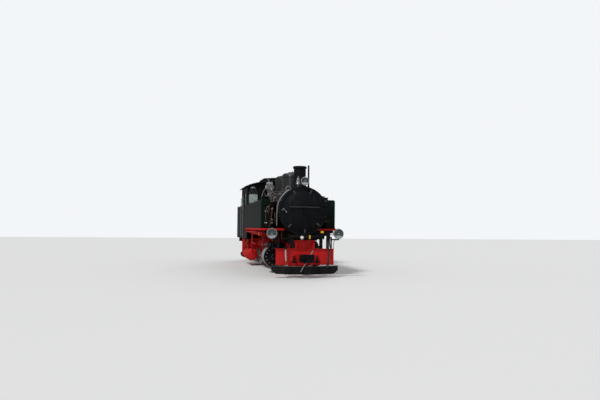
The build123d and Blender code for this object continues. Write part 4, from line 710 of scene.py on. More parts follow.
NODE_FINISHES: dict[str, Finish] = {
    "main_frame": FRAME_RED, "axle_boxes": FRAME_RED, "buffer_beams": FRAME_RED, "ploughs": BLACK,
    "cylinders": BLACK, "slide_bars": SLIDE_STEEL, "valve_gear": BRIGHT_STEEL, "brake_gear": FRAME_RED,
    "boiler": BOILER_BLACK, "smokebox": SMOKEBOX_BLACK, "chimney": SMOKEBOX_BLACK, "domes": DOME_DUST_AND_PAINTED_SHEEN,
    "boiler_mountings": BRASS, "bell": GREY_METAL, "side_tanks": TANK_BLACK_AND_GREEN_REFLECTION, "running_boards": BOARD_RED,
    "cab_body": BLACK, "cab_roof": ROOF_GREY, "cab_glass": WINDOW_GLASS, "cab_interior": CAB_PAINT,
    "coal_bunker": BLACK, "bunker_tank": BLACK, "pumps": BLACK, "generator": GREY_METAL,
    "air_reservoirs": FRAME_RED, "front_pipe_stand": BLACK, "handrails": GREY_METAL, "steps": FRAME_RED,
    "headlamps": BLACK, "lamp_lenses": LAMP_GLASS, "pipework": TOP_PIPES, "ash_pan": ASH_BLACK,
    "hose_cocks": BLACK, "hose_couplings": END_FITTINGS, "brake_hose": BRAKE_HOSE,
    "heating_hose": HEATING_HOSE, "smokebox_door": SMOKEBOX_BLACK, "cab_door_left": BLACK,
    "cab_door_right": BLACK, "door_glass_left": WINDOW_GLASS, "door_glass_right": WINDOW_GLASS,
    "filler_lid_left": BLACK, "filler_lid_right": BLACK, "front_truck": FRAME_RED, "rear_truck": FRAME_RED,
    "coupling_rods_left": BRIGHT_STEEL, "coupling_rods_right": BRIGHT_STEEL, "main_rod_left": BRIGHT_STEEL,
    "main_rod_right": BRIGHT_STEEL, "crosshead_left": BRIGHT_STEEL, "crosshead_right": BRIGHT_STEEL,
    "front_coupler": BLACK, "rear_coupler": BLACK,
}


def wheel_finish(name: str, x: float, z: float, tread: float, rim: float) -> WheelFinish:
    """Finish of one wheelset, centred on its own axle."""
    return WheelFinish(name, FRAME_RED.colour, roughness=0.42, dust=0.75, dirt=FRAME_RED.dirt,
                       wear=FRAME_RED.wear, worn=0.5, slot="red_wheels", axle=(x, z), rim=rim, tread=tread)


# Workshop: pieces shaped with operators


def clear_selection() -> None:
    """Leave edit mode and select nothing."""
    if bpy.context.object and bpy.context.object.mode != "OBJECT":
        bpy.ops.object.mode_set(mode="OBJECT")
    bpy.ops.object.select_all(action="DESELECT")


def pick(obj: Piece) -> None:
    """Select one object and make it active."""
    clear_selection()
    obj.select_set(True)
    bpy.context.view_layer.objects.active = obj


def settle(obj: Piece, name: str, finish: Finish, body: str = "root") -> Piece:
    """Finish a piece: its place goes into its mesh, then it gets its name, finish and body.

    Args:
        obj: The shaped mesh object.
        name: Name of the piece.
        finish: Its finish.
        body: The body it rides on.

    Returns:
        The same object.
    """
    pick(obj)
    bpy.ops.object.transform_apply(location=True, rotation=True, scale=True)
    bpy.ops.object.shade_smooth_by_angle(angle=SMOOTH_ANGLE)
    obj.name = name
    obj.data.name = name
    obj.data.materials.clear()
    obj.data.materials.append(finish.material())
    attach(obj, body)
    clear_selection()
    return obj


def turned(profile: Profile, sides: int) -> Piece:
    """Turn a profile about Z, by extruding a disc from ring to ring.

    Args:
        profile: Radius and height of each ring, from the foot up, with no radius of 0.
        sides: How many sides the rings have.

    Returns:
        The turned piece, standing on the origin.
    """
    clear_selection()
    radius, height = profile[0]
    bpy.ops.mesh.primitive_circle_add(vertices=sides, radius=radius, fill_type="NGON",
                                      location=(0, 0, height))
    obj = bpy.context.object
    bpy.ops.object.transform_apply(location=True)
    bpy.ops.object.mode_set(mode="EDIT")
    bpy.ops.mesh.select_all(action="SELECT")
    for (r0, z0), (r1, z1) in zip(profile, profile[1:]):
        bpy.ops.mesh.extrude_region_move(TRANSFORM_OT_translate={"value": (0.0, 0.0, z1 - z0)})
        if r1 != r0:
            bpy.ops.transform.resize(value=(r1 / r0, r1 / r0, 1.0), center_override=(0.0, 0.0, z1))
    bpy.ops.mesh.select_all(action="SELECT")
    bpy.ops.mesh.normals_make_consistent(inside=False)
    bpy.ops.object.mode_set(mode="OBJECT")
    return obj


def hoop(radius: float, depth: float, wall: float, round_by: float, sides: int) -> Piece:
    """Flat ring about Z with rounded edges.

    Args:
        radius: Outer radius.
        depth: Height along Z, from the origin up.
        wall: Thickness of its wall, inwards.
        round_by: How far its edges are rounded.
        sides: How many sides it has.

    Returns:
        The ring.
    """
    clear_selection()
    bpy.ops.mesh.primitive_cylinder_add(vertices=sides, radius=radius, depth=depth, end_fill_type="NOTHING",
                                        location=(0, 0, depth / 2))
    obj = bpy.context.object
    wall_up = obj.modifiers.new("wall", "SOLIDIFY")
    wall_up.thickness = wall
    wall_up.offset = -1.0
    edge = obj.modifiers.new("edge", "BEVEL")
    edge.width = round_by
    edge.segments = 2
    for modifier in ("wall", "edge"):
        bpy.ops.object.modifier_apply(modifier=modifier)
    return obj


def slab(low: Point, high: Point, round_by: float) -> Piece:
    """Block between two corners with rounded edges.

    Args:
        low: Lowest corner.
        high: Highest corner.
        round_by: How far its edges are rounded.

    Returns:
        The block.
    """
    clear_selection()
    size = tuple(b - a for a, b in zip(low, high))
    middle = tuple((a + b) / 2 for a, b in zip(low, high))
    bpy.ops.mesh.primitive_cube_add(size=1.0, location=middle, scale=size)
    obj = bpy.context.object
    bpy.ops.object.transform_apply(location=True, rotation=True, scale=True)
    bpy.ops.object.mode_set(mode="EDIT")
    bpy.ops.mesh.select_all(action="SELECT")
    bpy.ops.mesh.bevel(offset=min(round_by, 0.45 * min(size)), segments=2)
    bpy.ops.object.mode_set(mode="OBJECT")
    return obj


def stand(place: Row, towards: Way | Sequence[float]) -> Matrix:
    """Placing that stands a piece made along +Z at a place, pointing another way."""
    aim = Vector(towards.value if isinstance(towards, Way) else towards).normalized()
    return Matrix.Translation(place) @ aim.to_track_quat("Z", "Y").to_matrix().to_4x4()


def joined(pieces: Sequence[Piece]) -> Piece:
    """Join pieces into one object."""
    bpy.context.view_layer.update()
    pick(pieces[0])
    for piece in pieces[1:]:
        piece.select_set(True)
    if len(pieces) > 1:
        bpy.ops.object.join()
    return bpy.context.object


def copies(seed: Piece, places: Iterable[Matrix]) -> Piece:
    """Copy a piece to every place, each copy with its own mesh, and join them.

    Args:
        seed: The piece as it was modelled, which isn't kept.
        places: Where each copy goes.

    Returns:
        All the copies as one object.
    """
    made = []
    for place in places:
        twin = seed.copy()
        twin.data = seed.data.copy()
        twin.matrix_world = place @ seed.matrix_world
        bpy.context.scene.collection.objects.link(twin)
        made.append(twin)
    bpy.data.objects.remove(seed)
    return joined(made)


def smooth_tube(name: str, points: Sequence[Point], radius: float, fineness: int, steps: int) -> Piece:
    """Tube on one smooth spline.

    Args:
        name: Its name.
        points: The spline's control points.
        radius: The tube's radius.
        fineness: How round it is.
        steps: How finely it bends.

    Returns:
        The tube as a curve.
    """
    data = bpy.data.curves.new(name, "CURVE")
    data.dimensions = "3D"
    data.bevel_depth = radius
    data.bevel_resolution = fineness
    data.resolution_u = steps
    data.use_fill_caps = True
    line = data.splines.new("NURBS")
    line.points.add(len(points) - 1)
    for knot, place in zip(line.points, points):
        knot.co = (*place, 1.0)
    line.order_u = 3
    line.use_endpoint_u = True
    tube = bpy.data.objects.new(name, data)
    bpy.context.scene.collection.objects.link(tube)
    return tube


def drawn(points: Sequence[Point], radius: float, fineness: int = 2) -> Piece:
    """Round pipe that bends smoothly past its points.

    Args:
        points: The pipe's ends, with a point at each of its corners.
        radius: Its radius.
        fineness: How round it is.

    Returns:
        The pipe as a mesh.
    """
    pick(smooth_tube("run", points, radius, fineness, 6))
    bpy.ops.object.convert(target="MESH")
    return bpy.context.object


def rod(start: Point, end: Point, radius: float, sides: int = 16) -> Piece:
    """Straight round rod with chamfered ends between two points."""
    run = Vector(end) - Vector(start)
    chamfer = 0.25 * radius
    obj = turned([(radius - chamfer, 0.0), (radius, chamfer), (radius, run.length - chamfer),
                  (radius - chamfer, run.length)], sides)
    obj.matrix_world = stand(start, run)
    return obj


def nut(radius: float, height: float) -> Piece:
    """Hexagon nut with a chamfered top, on a round washer."""
    washer = turned([(1.22 * radius, 0.0), (1.22 * radius, 0.22 * height)], 12)
    head = turned([(radius, 0.22 * height), (radius, 0.85 * height), (0.86 * radius, height)], 6)
    return joined([washer, head])


def rivet(radius: float) -> Piece:
    """Round-headed rivet."""
    return turned([(radius, -0.2 * radius), (radius, 0.1 * radius), (0.80 * radius, 0.42 * radius),
                   (0.35 * radius, 0.62 * radius)], 8)


def between(start: float, end: float, count: int) -> list[float]:
    """Evenly spaced values from start to end."""
    return [start + (end - start) * n / (count - 1) for n in range(count)]


def around(count: int, first: float = 0.0) -> list[float]:
    """Evenly spaced angles round a circle, in radians."""
    return [first + math.tau * n / count for n in range(count)]


# Studio


@dataclass(frozen=True)
class Sun:
    """One soft sun.

    Its angles are in degrees: its height over the horizon, its heading from +X towards +Y, its breadth.
    """

    name: str
    strength: float
    elevation: float
    heading: float
    spread: float

    def build(self) -> None:
        """Hang the sun in the sky."""
        data = bpy.data.lights.new(self.name, "SUN")
        data.energy = self.strength
        data.angle = math.radians(self.spread)
        lamp = bpy.data.objects.new(self.name, data)
        tilt, turn = math.radians(self.elevation), math.radians(self.heading)
        towards = Vector((math.cos(turn) * math.cos(tilt), math.sin(turn) * math.cos(tilt), math.sin(tilt)))
        lamp.rotation_mode = "QUATERNION"
        lamp.rotation_quaternion = towards.to_track_quat("Z", "Y")
        bpy.context.scene.collection.objects.link(lamp)


@dataclass
class Studio:
    """Camera at the photograph's viewing angle, a pale floor and soft light.

    Attributes:
        eye: Where the camera stands.
        yaw: Its heading in degrees from +X.
        pitch: Its tilt upwards in degrees.
        roll: Its turn about the line of sight in degrees.
        focal_px: Focal length in pixels of a frame 600 wide.
        frame_px: Width of that frame.
        sensor: Width of the sensor in millimetres.
        floor_half: Half the floor's side.
        floor_colour: Colour of the floor.
        floor_seen_in_paint: Share of that colour that reflections show.
        sky_colour: Colour of the sky.
        sky_light: Strength of the light that the sky gives, where 1 is what the camera sees.
        sky_mirrored: How much less than that a reflection shows.
        suns: The suns.
    """

    eye: Point = (23.975, -3.724, 1.573)
    yaw: float = 169.295
    pitch: float = 2.536
    roll: float = 0.513
    focal_px: float = 611.5
    frame_px: float = 600.0
    sensor: float = 36.0
    floor_half: float = 60.0
    floor_colour: Colour = (0.70, 0.70, 0.69)
    floor_seen_in_paint: float = 0.22
    sky_colour: Colour = (0.90, 0.92, 0.94)
    sky_light: float = 0.50
    sky_mirrored: float = 0.33
    suns: Sequence[Sun] = (Sun("key_sun", 2.10, 50.0, -48.0, 12.0), Sun("back_sun", 0.60, 38.0, 150.0, 40.0))

    def make_camera(self) -> None:
        """Stand the camera where the photograph was taken from."""
        yaw, pitch, roll = (math.radians(a) for a in (self.yaw, self.pitch, self.roll))
        ahead = Vector((math.cos(yaw) * math.cos(pitch), math.sin(yaw) * math.cos(pitch), math.sin(pitch)))
        right = ahead.cross(Vector((0, 0, 1))).normalized()
        above = right.cross(ahead)
        turned_right = right * math.cos(roll) + above * math.sin(roll)
        turned_up = above * math.cos(roll) - right * math.sin(roll)
        data = bpy.data.cameras.new("photo_camera")
        data.sensor_width = self.sensor
        data.lens = self.focal_px / self.frame_px * self.sensor
        data.clip_end = 500.0
        camera = bpy.data.objects.new("photo_camera", data)
        rows = Matrix((turned_right, turned_up, -ahead)).transposed()
        camera.matrix_world = Matrix.Translation(self.eye) @ rows.to_4x4()
        bpy.context.scene.collection.objects.link(camera)
        bpy.context.scene.camera = camera

    def make_floor(self) -> None:
        """Lay the pale floor, level with what the wheels stand on."""
        clear_selection()
        bpy.ops.mesh.primitive_plane_add(size=2 * self.floor_half, location=(0, 0, 0))
        floor = bpy.context.object
        floor.name = "studio_floor"
        made, graph, shader = painted("studio_floor_paint")
        shader.inputs["Roughness"].default_value = 0.9
        shader.inputs["Specular IOR Level"].default_value = 0.2
        glossy = graph.node("ShaderNodeLightPath").outputs["Is Glossy Ray"]
        mirrored = tuple(self.floor_seen_in_paint * c for c in self.floor_colour)
        graph.feed(shader.inputs["Base Color"], graph.blend(glossy, self.floor_colour, mirrored))
        floor.data.materials.append(made)

    def make_lights(self) -> None:
        """Soft sky all round, a broad sun from the front and a weak one from behind."""
        world = bpy.data.worlds.new("studio_sky")
        bpy.context.scene.world = world
        world.use_nodes = True
        graph = Graph(world.node_tree)
        sky = graph.node("ShaderNodeBackground")
        sky.inputs["Color"].default_value = (*self.sky_colour, 1.0)
        path = graph.node("ShaderNodeLightPath")
        shown = graph.sum("MAXIMUM", path.outputs["Is Camera Ray"], path.outputs["Is Transmission Ray"])
        strength = graph.sum("ADD", graph.sum("MULTIPLY", shown, 1.0 - self.sky_light), self.sky_light)
        mirrored = graph.sum("MULTIPLY", path.outputs["Is Glossy Ray"], self.sky_mirrored)
        graph.feed(sky.inputs["Strength"], graph.sum("SUBTRACT", strength, mirrored))
        end = graph.node("ShaderNodeOutputWorld")
        graph.feed(end.inputs[0], sky.outputs[0])
        for sun in self.suns:
            sun.build()
        bpy.context.scene.view_settings.view_transform = "Standard"

    def build(self) -> None:
        """Set up the camera first, then the floor and the lights."""
        self.make_camera()
        self.make_floor()
        self.make_lights()


# Hoses


@dataclass
class HangingHose:
    """A free hose on the front beam, hanging from its cock.

    Attributes:
        name: Name of the piece.
        node: The CAD tube it stands for.
        route: Points of the hose's spline, from its cock down.
        diameter: Outside diameter in metres.
        length: Real length in metres; not used.
        finish: Its finish.
        slot: Name of its material slot; not used.
        far_end: What is on its lower end; not used.
    """

    name: str
    node: str
    route: Sequence[Point]
    diameter: float
    length: float
    finish: Finish
    slot: str
    far_end: str

    def build(self) -> Piece:
        """Draw the hose as one smooth spline.

        Returns:
            The hose.
        """
        hose = smooth_tube(self.name, self.route, self.diameter / 2, 6, 12)
        hose.data.materials.append(self.finish.material())
        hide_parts(self.node)
        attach(hose, "root")
        return hose


BRAKE_HOSE_ROUTE = ((5.300, -0.630, 0.875), (5.300, -0.630, 0.775), (5.312, -0.628, 0.690),
                    (5.324, -0.622, 0.610), (5.330, -0.616, 0.525))
HEATING_HOSE_ROUTE = ((5.300, 0.710, 1.170), (5.300, 0.710, 1.020), (5.318, 0.718, 0.880),
                      (5.342, 0.720, 0.740), (5.360, 0.714, 0.610), (5.366, 0.700, 0.480))


# Fittings: sizes that end in _x, _y and _z are places, and _r is a radius


def at(*place: float) -> Matrix:
    """Placing that moves a piece and doesn't turn it."""
    return Matrix.Translation(place)


def ring_places(centre: Point, radius: float, count: int, towards: Way) -> list[Matrix]:
    """Places of a ring of pieces on a flat face that looks towards one way."""
    face = stand(centre, towards)
    return [face @ Matrix.Rotation(a, 4, "Z") @ at(radius, 0, 0) for a in around(count)]


def barrel_places(x: float, radius: float, angles: Iterable[float]) -> list[Matrix]:
    """Places on a barrel's skin, pointing outwards at angles from +Y towards +Z."""
    return [stand((x, radius * math.cos(a), BOILER_Z + radius * math.sin(a)), (0.0, math.cos(a), math.sin(a)))
            for a in angles]


def barrel_pairs(xs: Iterable[float], radius: float, angle: float) -> list[Matrix]:
    """Places on the barrel at each X, one on the left and one on the right."""
    return [place for x in xs for place in barrel_places(x, radius, (angle, math.pi - angle))]


def spots(rows: Iterable[Spot]) -> list[Matrix]:
    """Placing of each spot, given as its foot and where it points."""
    return [stand(foot, towards) for foot, towards in rows]


def pair(y: float) -> Sequence[float]:
    """The place on the right and the one on the left."""
    return -y, y


def outward(y: float) -> Way:
    """Direction away from the locomotive's middle on the side of y."""
    return Way.LEFT if y > 0 else Way.RIGHT


def pipes(runs: Iterable[Run]) -> Piece:
    """Join pipes, each given as its radius and its points."""
    return joined([drawn(points, radius) for radius, points in runs])


def slabs(rows: Iterable[Block]) -> Piece:
    """Join blocks, each given as its two corners and its rounding."""
    return joined([slab(low, high, round_by) for low, high, round_by in rows])


def bands(rows: Iterable[tuple[float, Matrix]], section: Point, sides: int) -> Piece:
    """Join hoops that share one section, which is their depth, wall and rounding."""
    return joined([copies(hoop(radius, *section, sides), [place]) for radius, place in rows])


def bolted(profile: Profile, sides: int, bolt: tuple[float, float],
           ring: tuple[float, float, int]) -> Piece:
    """Turned cap with a ring of nuts on it.

    Args:
        profile: Radius and height of each ring of the cap.
        sides: How many sides the cap has.
        bolt: Radius and height of a nut.
        ring: Height, radius and count of the ring of nuts.

    Returns:
        The cap, standing on the origin.
    """
    cap = turned(profile, sides)
    height, radius, count = ring
    nuts = copies(nut(*bolt), ring_places((0, 0, height), radius, count, Way.UP))
    return joined([cap, nuts])


@dataclass
class SmokeboxFront:
    """Clamps and knobs of the smokebox door, and the smokebox's rivet rows and rails.

    Clamp angles are degrees from +Y towards +Z. A side pipe is its X, radius, stand-off and lower end.
    """

    clamp_angles: Row = (117.0, 69.0, 178.0, 227.0, 274.0, 318.0)
    clamp_r: float = 0.655
    rail_end: Point = (5.027, 0.487, 2.205)
    rail_r: float = 0.0142
    knob_feet: Sequence[Point] = ((4.925, -0.565, 2.050), (4.893, -0.640, 2.130))
    rivet_count: int = 44
    rivet_low: float = -0.70
    row_xs: Row = (3.372, 3.418, 4.800)
    side_pipes: Sequence[tuple[float, float, float, float]] = (
        (4.640, 0.013, 0.040, 2.05), (4.520, 0.018, 0.036, 1.62), (4.440, 0.012, 0.034, 1.62))
    clip_angles: Row = (2.30, 2.95)

    def clamp(self) -> Piece:
        """One clamp: a finger over the door's rim, its heel on the ring and its nut."""
        finger = slab((-0.075, -0.027, 0.000), (0.066, 0.027, 0.024), 0.006)
        heel = slab((0.040, -0.020, -0.030), (0.064, 0.020, 0.010), 0.004)
        screw = nut(0.023, 0.034)
        screw.location.z = 0.022
        return joined([finger, heel, screw])

    def build(self) -> None:
        """Clamps and knobs ride on the door, and the rest stands on the smokebox."""
        middle = stand((RING_X + 0.036, 0.0, BOILER_Z), Way.AHEAD)
        places = [middle @ Matrix.Rotation(math.radians(a), 4, "Z") @ at(self.clamp_r, 0, 0)
                  for a in self.clamp_angles]
        settle(copies(self.clamp(), places), "door_clamps", WORN_BLACK, "smokebox_door")
        x, y, z = self.rail_end
        settle(rod((x, -y, z), (x, y, z), self.rail_r), "door_rail_sleeve", WORN_BLACK, "smokebox_door")
        knob = turned([(0.012, 0.0), (0.012, 0.024), (0.024, 0.030), (0.026, 0.044), (0.016, 0.054)], 16)
        knobs = [stand(foot, Way.AHEAD) for foot in self.knob_feet]
        settle(copies(knob, knobs), "door_knobs", GREY_METAL, "smokebox_door")
        skin = [a for a in around(self.rivet_count) if math.sin(a) > self.rivet_low]
        rows = [place for x in self.row_xs for place in barrel_places(x, SMOKEBOX_R, skin)]
        settle(copies(rivet(0.0095), rows), "smokebox_rivets", SMOKEBOX_BLACK)
        bead = hoop(SMOKEBOX_R + 0.018, 0.012, 0.010, 0.004, 72)
        settle(copies(bead, [stand((RING_X - 0.046, 0, BOILER_Z), Way.AHEAD)]), "ring_bead", SMOKEBOX_BLACK)
        self.build_rails()

    def build_rails(self) -> None:
        """Bright rail and pipes that bend round the smokebox's right shoulder."""
        runs = []
        for x, radius, reach, low in self.side_pipes:
            r = SMOKEBOX_R + reach
            bend = [(x, -r * math.cos(a), BOILER_Z + r * math.sin(a)) for a in between(0.10, 1.02, 6)]
            runs.append((radius, [(x, bend[0][1], low)] + bend))
        settle(pipes(runs), "smokebox_side_pipes", GREY_METAL)
        clip = slab((-0.018, -0.028, -0.004), (0.018, 0.028, 0.034), 0.004)
        places = [place for x, *_ in self.side_pipes
                  for place in barrel_places(x, SMOKEBOX_R, self.clip_angles)]
        settle(copies(clip, places), "smokebox_pipe_clips", SMOKEBOX_BLACK)


@dataclass(frozen=True)
class Lamp:
    """One headlamp's glass, bowl and bezel.

    Attributes:
        face: Middle of its open face.
        radius: Outer radius of its body.
        end: The end of the locomotive from which it looks out.
    """

    face: Point
    radius: float
    end: End

    def placed(self, piece: Piece) -> Piece:
        """The piece, moved from the origin to the lamp's face."""
        piece.matrix_world = stand(self.face, self.end.way)
        return piece

    def bowl(self) -> Piece:
        """Bright bowl behind the glass with its bulb."""
        r = self.radius - 0.0125
        dish = turned([(0.18 * r, -0.0285), (0.22 * r, -0.0275), (0.45 * r, -0.0245), (0.72 * r, -0.0195),
                       (0.94 * r, -0.0125), (r, -0.0105), (r, -0.0140), (0.80 * r, -0.0255),
                       (0.30 * r, -0.0295)], 40)
        bulb = turned([(0.020, -0.0275), (0.022, -0.020), (0.016, -0.012), (0.006, -0.008)], 16)
        return self.placed(joined([dish, bulb]))

    def glass(self) -> Piece:
        """Domed front glass."""
        r = self.radius - 0.0135
        return self.placed(turned([(r, -0.0095), (r, -0.0060), (0.88 * r, 0.0005), (0.62 * r, 0.0075),
                                   (0.28 * r, 0.0120), (0.05 * r, 0.0132)], 40))

    def bezel(self) -> Piece:
        """Polished ring round the glass with its catch and hinge."""
        r = self.radius
        ring = hoop(r + 0.008, 0.026, 0.016, 0.005, 48)
        ring.location.z -= 0.016
        catch = slab((-0.014, r - 0.002, -0.030), (0.014, r + 0.022, 0.006), 0.003)
        hinge = slab((-0.020, -r - 0.018, -0.030), (0.020, 0.002 - r, 0.004), 0.003)
        return self.placed(joined([catch, hinge, ring]))

    def conduit(self) -> Run:
        """Conduit from the lamp's back down to the beam."""
        x, y, z = self.face
        sign = self.end.value
        return 0.009, [(x - sign * 0.15, y * 0.97, z - 0.10), (x - sign * 0.17, y * 0.90, z - 0.24),
                       (sign * 5.185, y * 0.86, 1.05), (sign * 5.185, y * 0.86, 0.90)]


@dataclass
class Headlamps:
    """Glasses, bowls, bezels and conduits of all six lamps.

    Lamps lower than conduit_z have a conduit.
    """

    lamps: Sequence[Lamp] = (
        Lamp((5.010, 0.020, 3.030), 0.125, End.FRONT), Lamp((5.285, 1.060, 1.370), 0.152, End.FRONT),
        Lamp((5.285, -1.060, 1.370), 0.152, End.FRONT), Lamp((-5.150, 0.0, 2.265), 0.112, End.REAR),
        Lamp((-5.190, 0.930, 1.375), 0.120, End.REAR), Lamp((-5.190, -0.930, 1.375), 0.120, End.REAR))
    conduit_z: float = 2.0

    def build(self) -> None:
        """Make each kind of piece for all lamps."""
        glasses = settle(joined([lamp.glass() for lamp in self.lamps]), "lamp_glasses", LAMP_GLASS)
        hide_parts("lamp_lenses")
        settle(joined([lamp.bowl() for lamp in self.lamps]), "lamp_bowls", BOWL_PAINTED_REFLECTION)
        settle(joined([lamp.bezel() for lamp in self.lamps]), "lamp_bezels", CHROME)
        low = [lamp.conduit() for lamp in self.lamps if lamp.face[2] < self.conduit_z]
        settle(pipes(low), "lamp_conduits", BLACK)


@dataclass
class BeamFittings:
    """Rivets, bolts and tow hooks of both beams."""

    rivet_ys: Row = tuple(between(-0.885, 0.885, 25))
    bolt_ys: Row = (-0.155, 0.155, -0.245, 0.245)
    hook_ys: Row = (-0.365, 0.365)

    def build(self) -> None:
        """Dress the front beam, then the rear one."""
        for end in End:
            self.dress(end)

    def dress(self, end: End) -> None:
        """Dress the beam at one end."""
        x, way = end.value * BEAM_X, end.way
        rows = [stand((x, y, z), way) for y in self.rivet_ys for z in (BEAM_TOP - 0.030, BEAM_BOTTOM + 0.030)]
        rows += [stand((x, y, z), way) for y in pair(0.895) for z in between(0.47, 0.80, 5)]
        settle(copies(rivet(0.0095), rows), f"{end.label}_beam_rivets", FRAME_RED)
        bolts = [stand((x, y, COUPLER_Z + dz), way) for y in self.bolt_ys for dz in (-0.115, 0.0, 0.115)]
        bolts += [stand((end.value * (BEAM_X + 0.070), y, COUPLER_Z + dz), way) for y in self.hook_ys
                  for dz in (-0.075, 0.030)]
        settle(copies(nut(0.015, 0.018), bolts), f"{end.label}_beam_bolts", FRAME_RED)
        horn = turned([(0.048, 0.0), (0.044, 0.030), (0.030, 0.090), (0.022, 0.160), (0.016, 0.215)], 16)
        horns = [stand((end.value * (BEAM_X + 0.082), y, COUPLER_Z - 0.105), Way.UP) for y in self.hook_ys]
        settle(copies(horn, horns), f"{end.label}_tow_horns", BLACK)
        x = end.value * (BEAM_X + 0.098)
        bars = [at(0, y, COUPLER_Z - 0.112) for y in self.hook_ys]
        settle(copies(rod((x, -0.105, 0.0), (x, 0.105, 0.0), 0.014), bars), f"{end.label}_tow_bars", BLACK)


@dataclass
class CouplerFittings:
    """Bright release lever, head bolts and springs of a coupler, modelled at the front and turned to its end.

    A bolt row is its Y and its height from the coupler's middle. Six steps of the coil make a turn.
    """

    end: End
    lever_x: float = 5.560
    bolt_rows: Profile = (
        (-0.195, 0.092), (-0.195, -0.092), (0.195, 0.092), (0.195, -0.092), (0.0, 0.098), (0.0, -0.098))
    rim_y: float = 0.1125
    coil_x: float = 5.345
    coil_r: float = 0.079
    coil_pitch: float = 0.0035

    def build(self) -> None:
        """Dress the coupler's head."""
        turn, body = self.end.turn, f"{self.end.label}_coupler"
        x, r = self.lever_x, self.coil_r
        lever = joined([rod((x, 0.175, 0.845), (x, -0.205, 0.200), 0.0135),
                        rod((x, 0.165, 0.829), (x, 0.185, 0.862), 0.020)])
        settle(copies(lever, [turn]), f"{body}_lever", PALE_STEEL, body)
        bolts = [turn @ stand((5.590, y, COUPLER_Z + dz), Way.AHEAD) for y, dz in self.bolt_rows]
        settle(copies(nut(0.014, 0.016), bolts), f"{body}_bolts", BLACK, body)
        rim = hoop(0.088, 0.012, 0.012, 0.004, 32)
        seat = hoop(0.078, 0.010, 0.012, 0.004, 32)
        rims = [copies(rim, [turn @ stand((5.586, self.rim_y, COUPLER_Z), Way.AHEAD)]),
                copies(seat, [turn @ stand((5.588, -self.rim_y, COUPLER_Z), Way.AHEAD)])]
        settle(joined(rims), f"{body}_rims", BLACK, body)
        step = 1.0472
        coil = drawn([(self.coil_x + self.coil_pitch * n, r * math.cos(n * step),
                       COUPLER_Z + r * math.sin(n * step)) for n in range(13)], 0.007)
        settle(copies(coil, [turn]), f"{body}_spring", BLACK, body)


@dataclass
class FrontStand:
    """Flanges, plain tags and small lamp of the pipe stand over the front beam."""

    pipe_x: float = 5.140
    pipe_z: float = 1.265
    flanges: Sequence[tuple[float, Way]] = (
        (-0.480, Way.RIGHT), (-0.330, Way.LEFT), (0.400, Way.RIGHT), (0.594, Way.LEFT))
    feet: Profile = ((-0.410, 0.082), (0.500, 0.058))
    tags: Sequence[Block] = (
        ((5.199, 0.125, 1.205), (5.207, 0.172, 1.315), 0.003),
        ((5.199, 0.500, 1.392), (5.207, 0.595, 1.450), 0.003),
        ((3.806, -1.296, 1.285), (3.852, -1.288, 1.375), 0.003))
    arms: Sequence[Block] = (
        ((5.180, 0.520, 0.899), (5.199, 0.560, 1.395), 0.003),
        ((5.188, 0.120, 1.245), (5.199, 0.177, 1.285), 0.003))
    lamp_y: float = -0.107

    def build(self) -> None:
        """Dress the cross pipe and its posts."""
        flange = bolted([(0.076, 0.0), (0.076, 0.016)], 32, (0.009, 0.012), (0.016, 0.065, 8))
        places = [stand((self.pipe_x, y, self.pipe_z), towards) for y, towards in self.flanges]
        settle(copies(flange, places), "pipe_flanges", BLACK)
        feet = [((self.pipe_x - 0.055, y - half, 0.899), (self.pipe_x + 0.055, y + half, 0.913), 0.004)
                for y, half in self.feet]
        settle(slabs(feet), "pipe_stand_feet", BLACK)
        settle(slabs(self.tags), "plain_tags", PLAIN_YELLOW)
        settle(slabs(self.arms), "tag_arms", BLACK)
        globe = turned([(0.030, 0.0), (0.052, 0.020), (0.056, 0.050), (0.044, 0.082), (0.020, 0.092)], 24)
        settle(copies(globe, [stand((5.195, self.lamp_y, 1.245), Way.AHEAD)]), "small_lamp", PLAIN_WHITE)
        under = turned([(0.018, 0.0), (0.030, 0.012), (0.030, 0.034), (0.012, 0.046)], 20)
        settle(copies(under, [stand((5.222, self.lamp_y, 1.150), Way.UP)]), "small_lamp_cap", BRASS)


@dataclass
class PloughFittings:
    """Bolts and worn lip of both ploughs, modelled at the front and turned to each end."""

    nose_x: float = 5.560
    sweep: float = 0.37
    half: float = 1.06
    bolt_zs: Row = (0.325, 0.165)
    lip_z: float = 0.364

    def build(self) -> None:
        """Dress the plough at each end."""
        slant = math.atan2(self.sweep, self.half)
        for end in End:
            places = []
            for side in Side:
                towards = (math.cos(slant), side.value * math.sin(slant), 0.0)
                for run in between(0.12, 0.94, 9):
                    x, y = self.nose_x - self.sweep * run + 0.001, side.value * run * self.half
                    places += [end.turn @ stand((x, y, z), towards) for z in self.bolt_zs]
            settle(copies(nut(0.011, 0.010), places), f"{end.label}_plough_bolts", BLACK)
            lip = [slab((5.545, -0.012, 0.352), (5.562, 0.012, 0.372), 0.003)]
            lip += [rod((5.556, 0.0, self.lip_z), (5.186, side.value * 1.056, self.lip_z), 0.009, 10)
                    for side in Side]
            settle(copies(joined(lip), [end.turn]), f"{end.label}_plough_lip", WORN_BLACK)


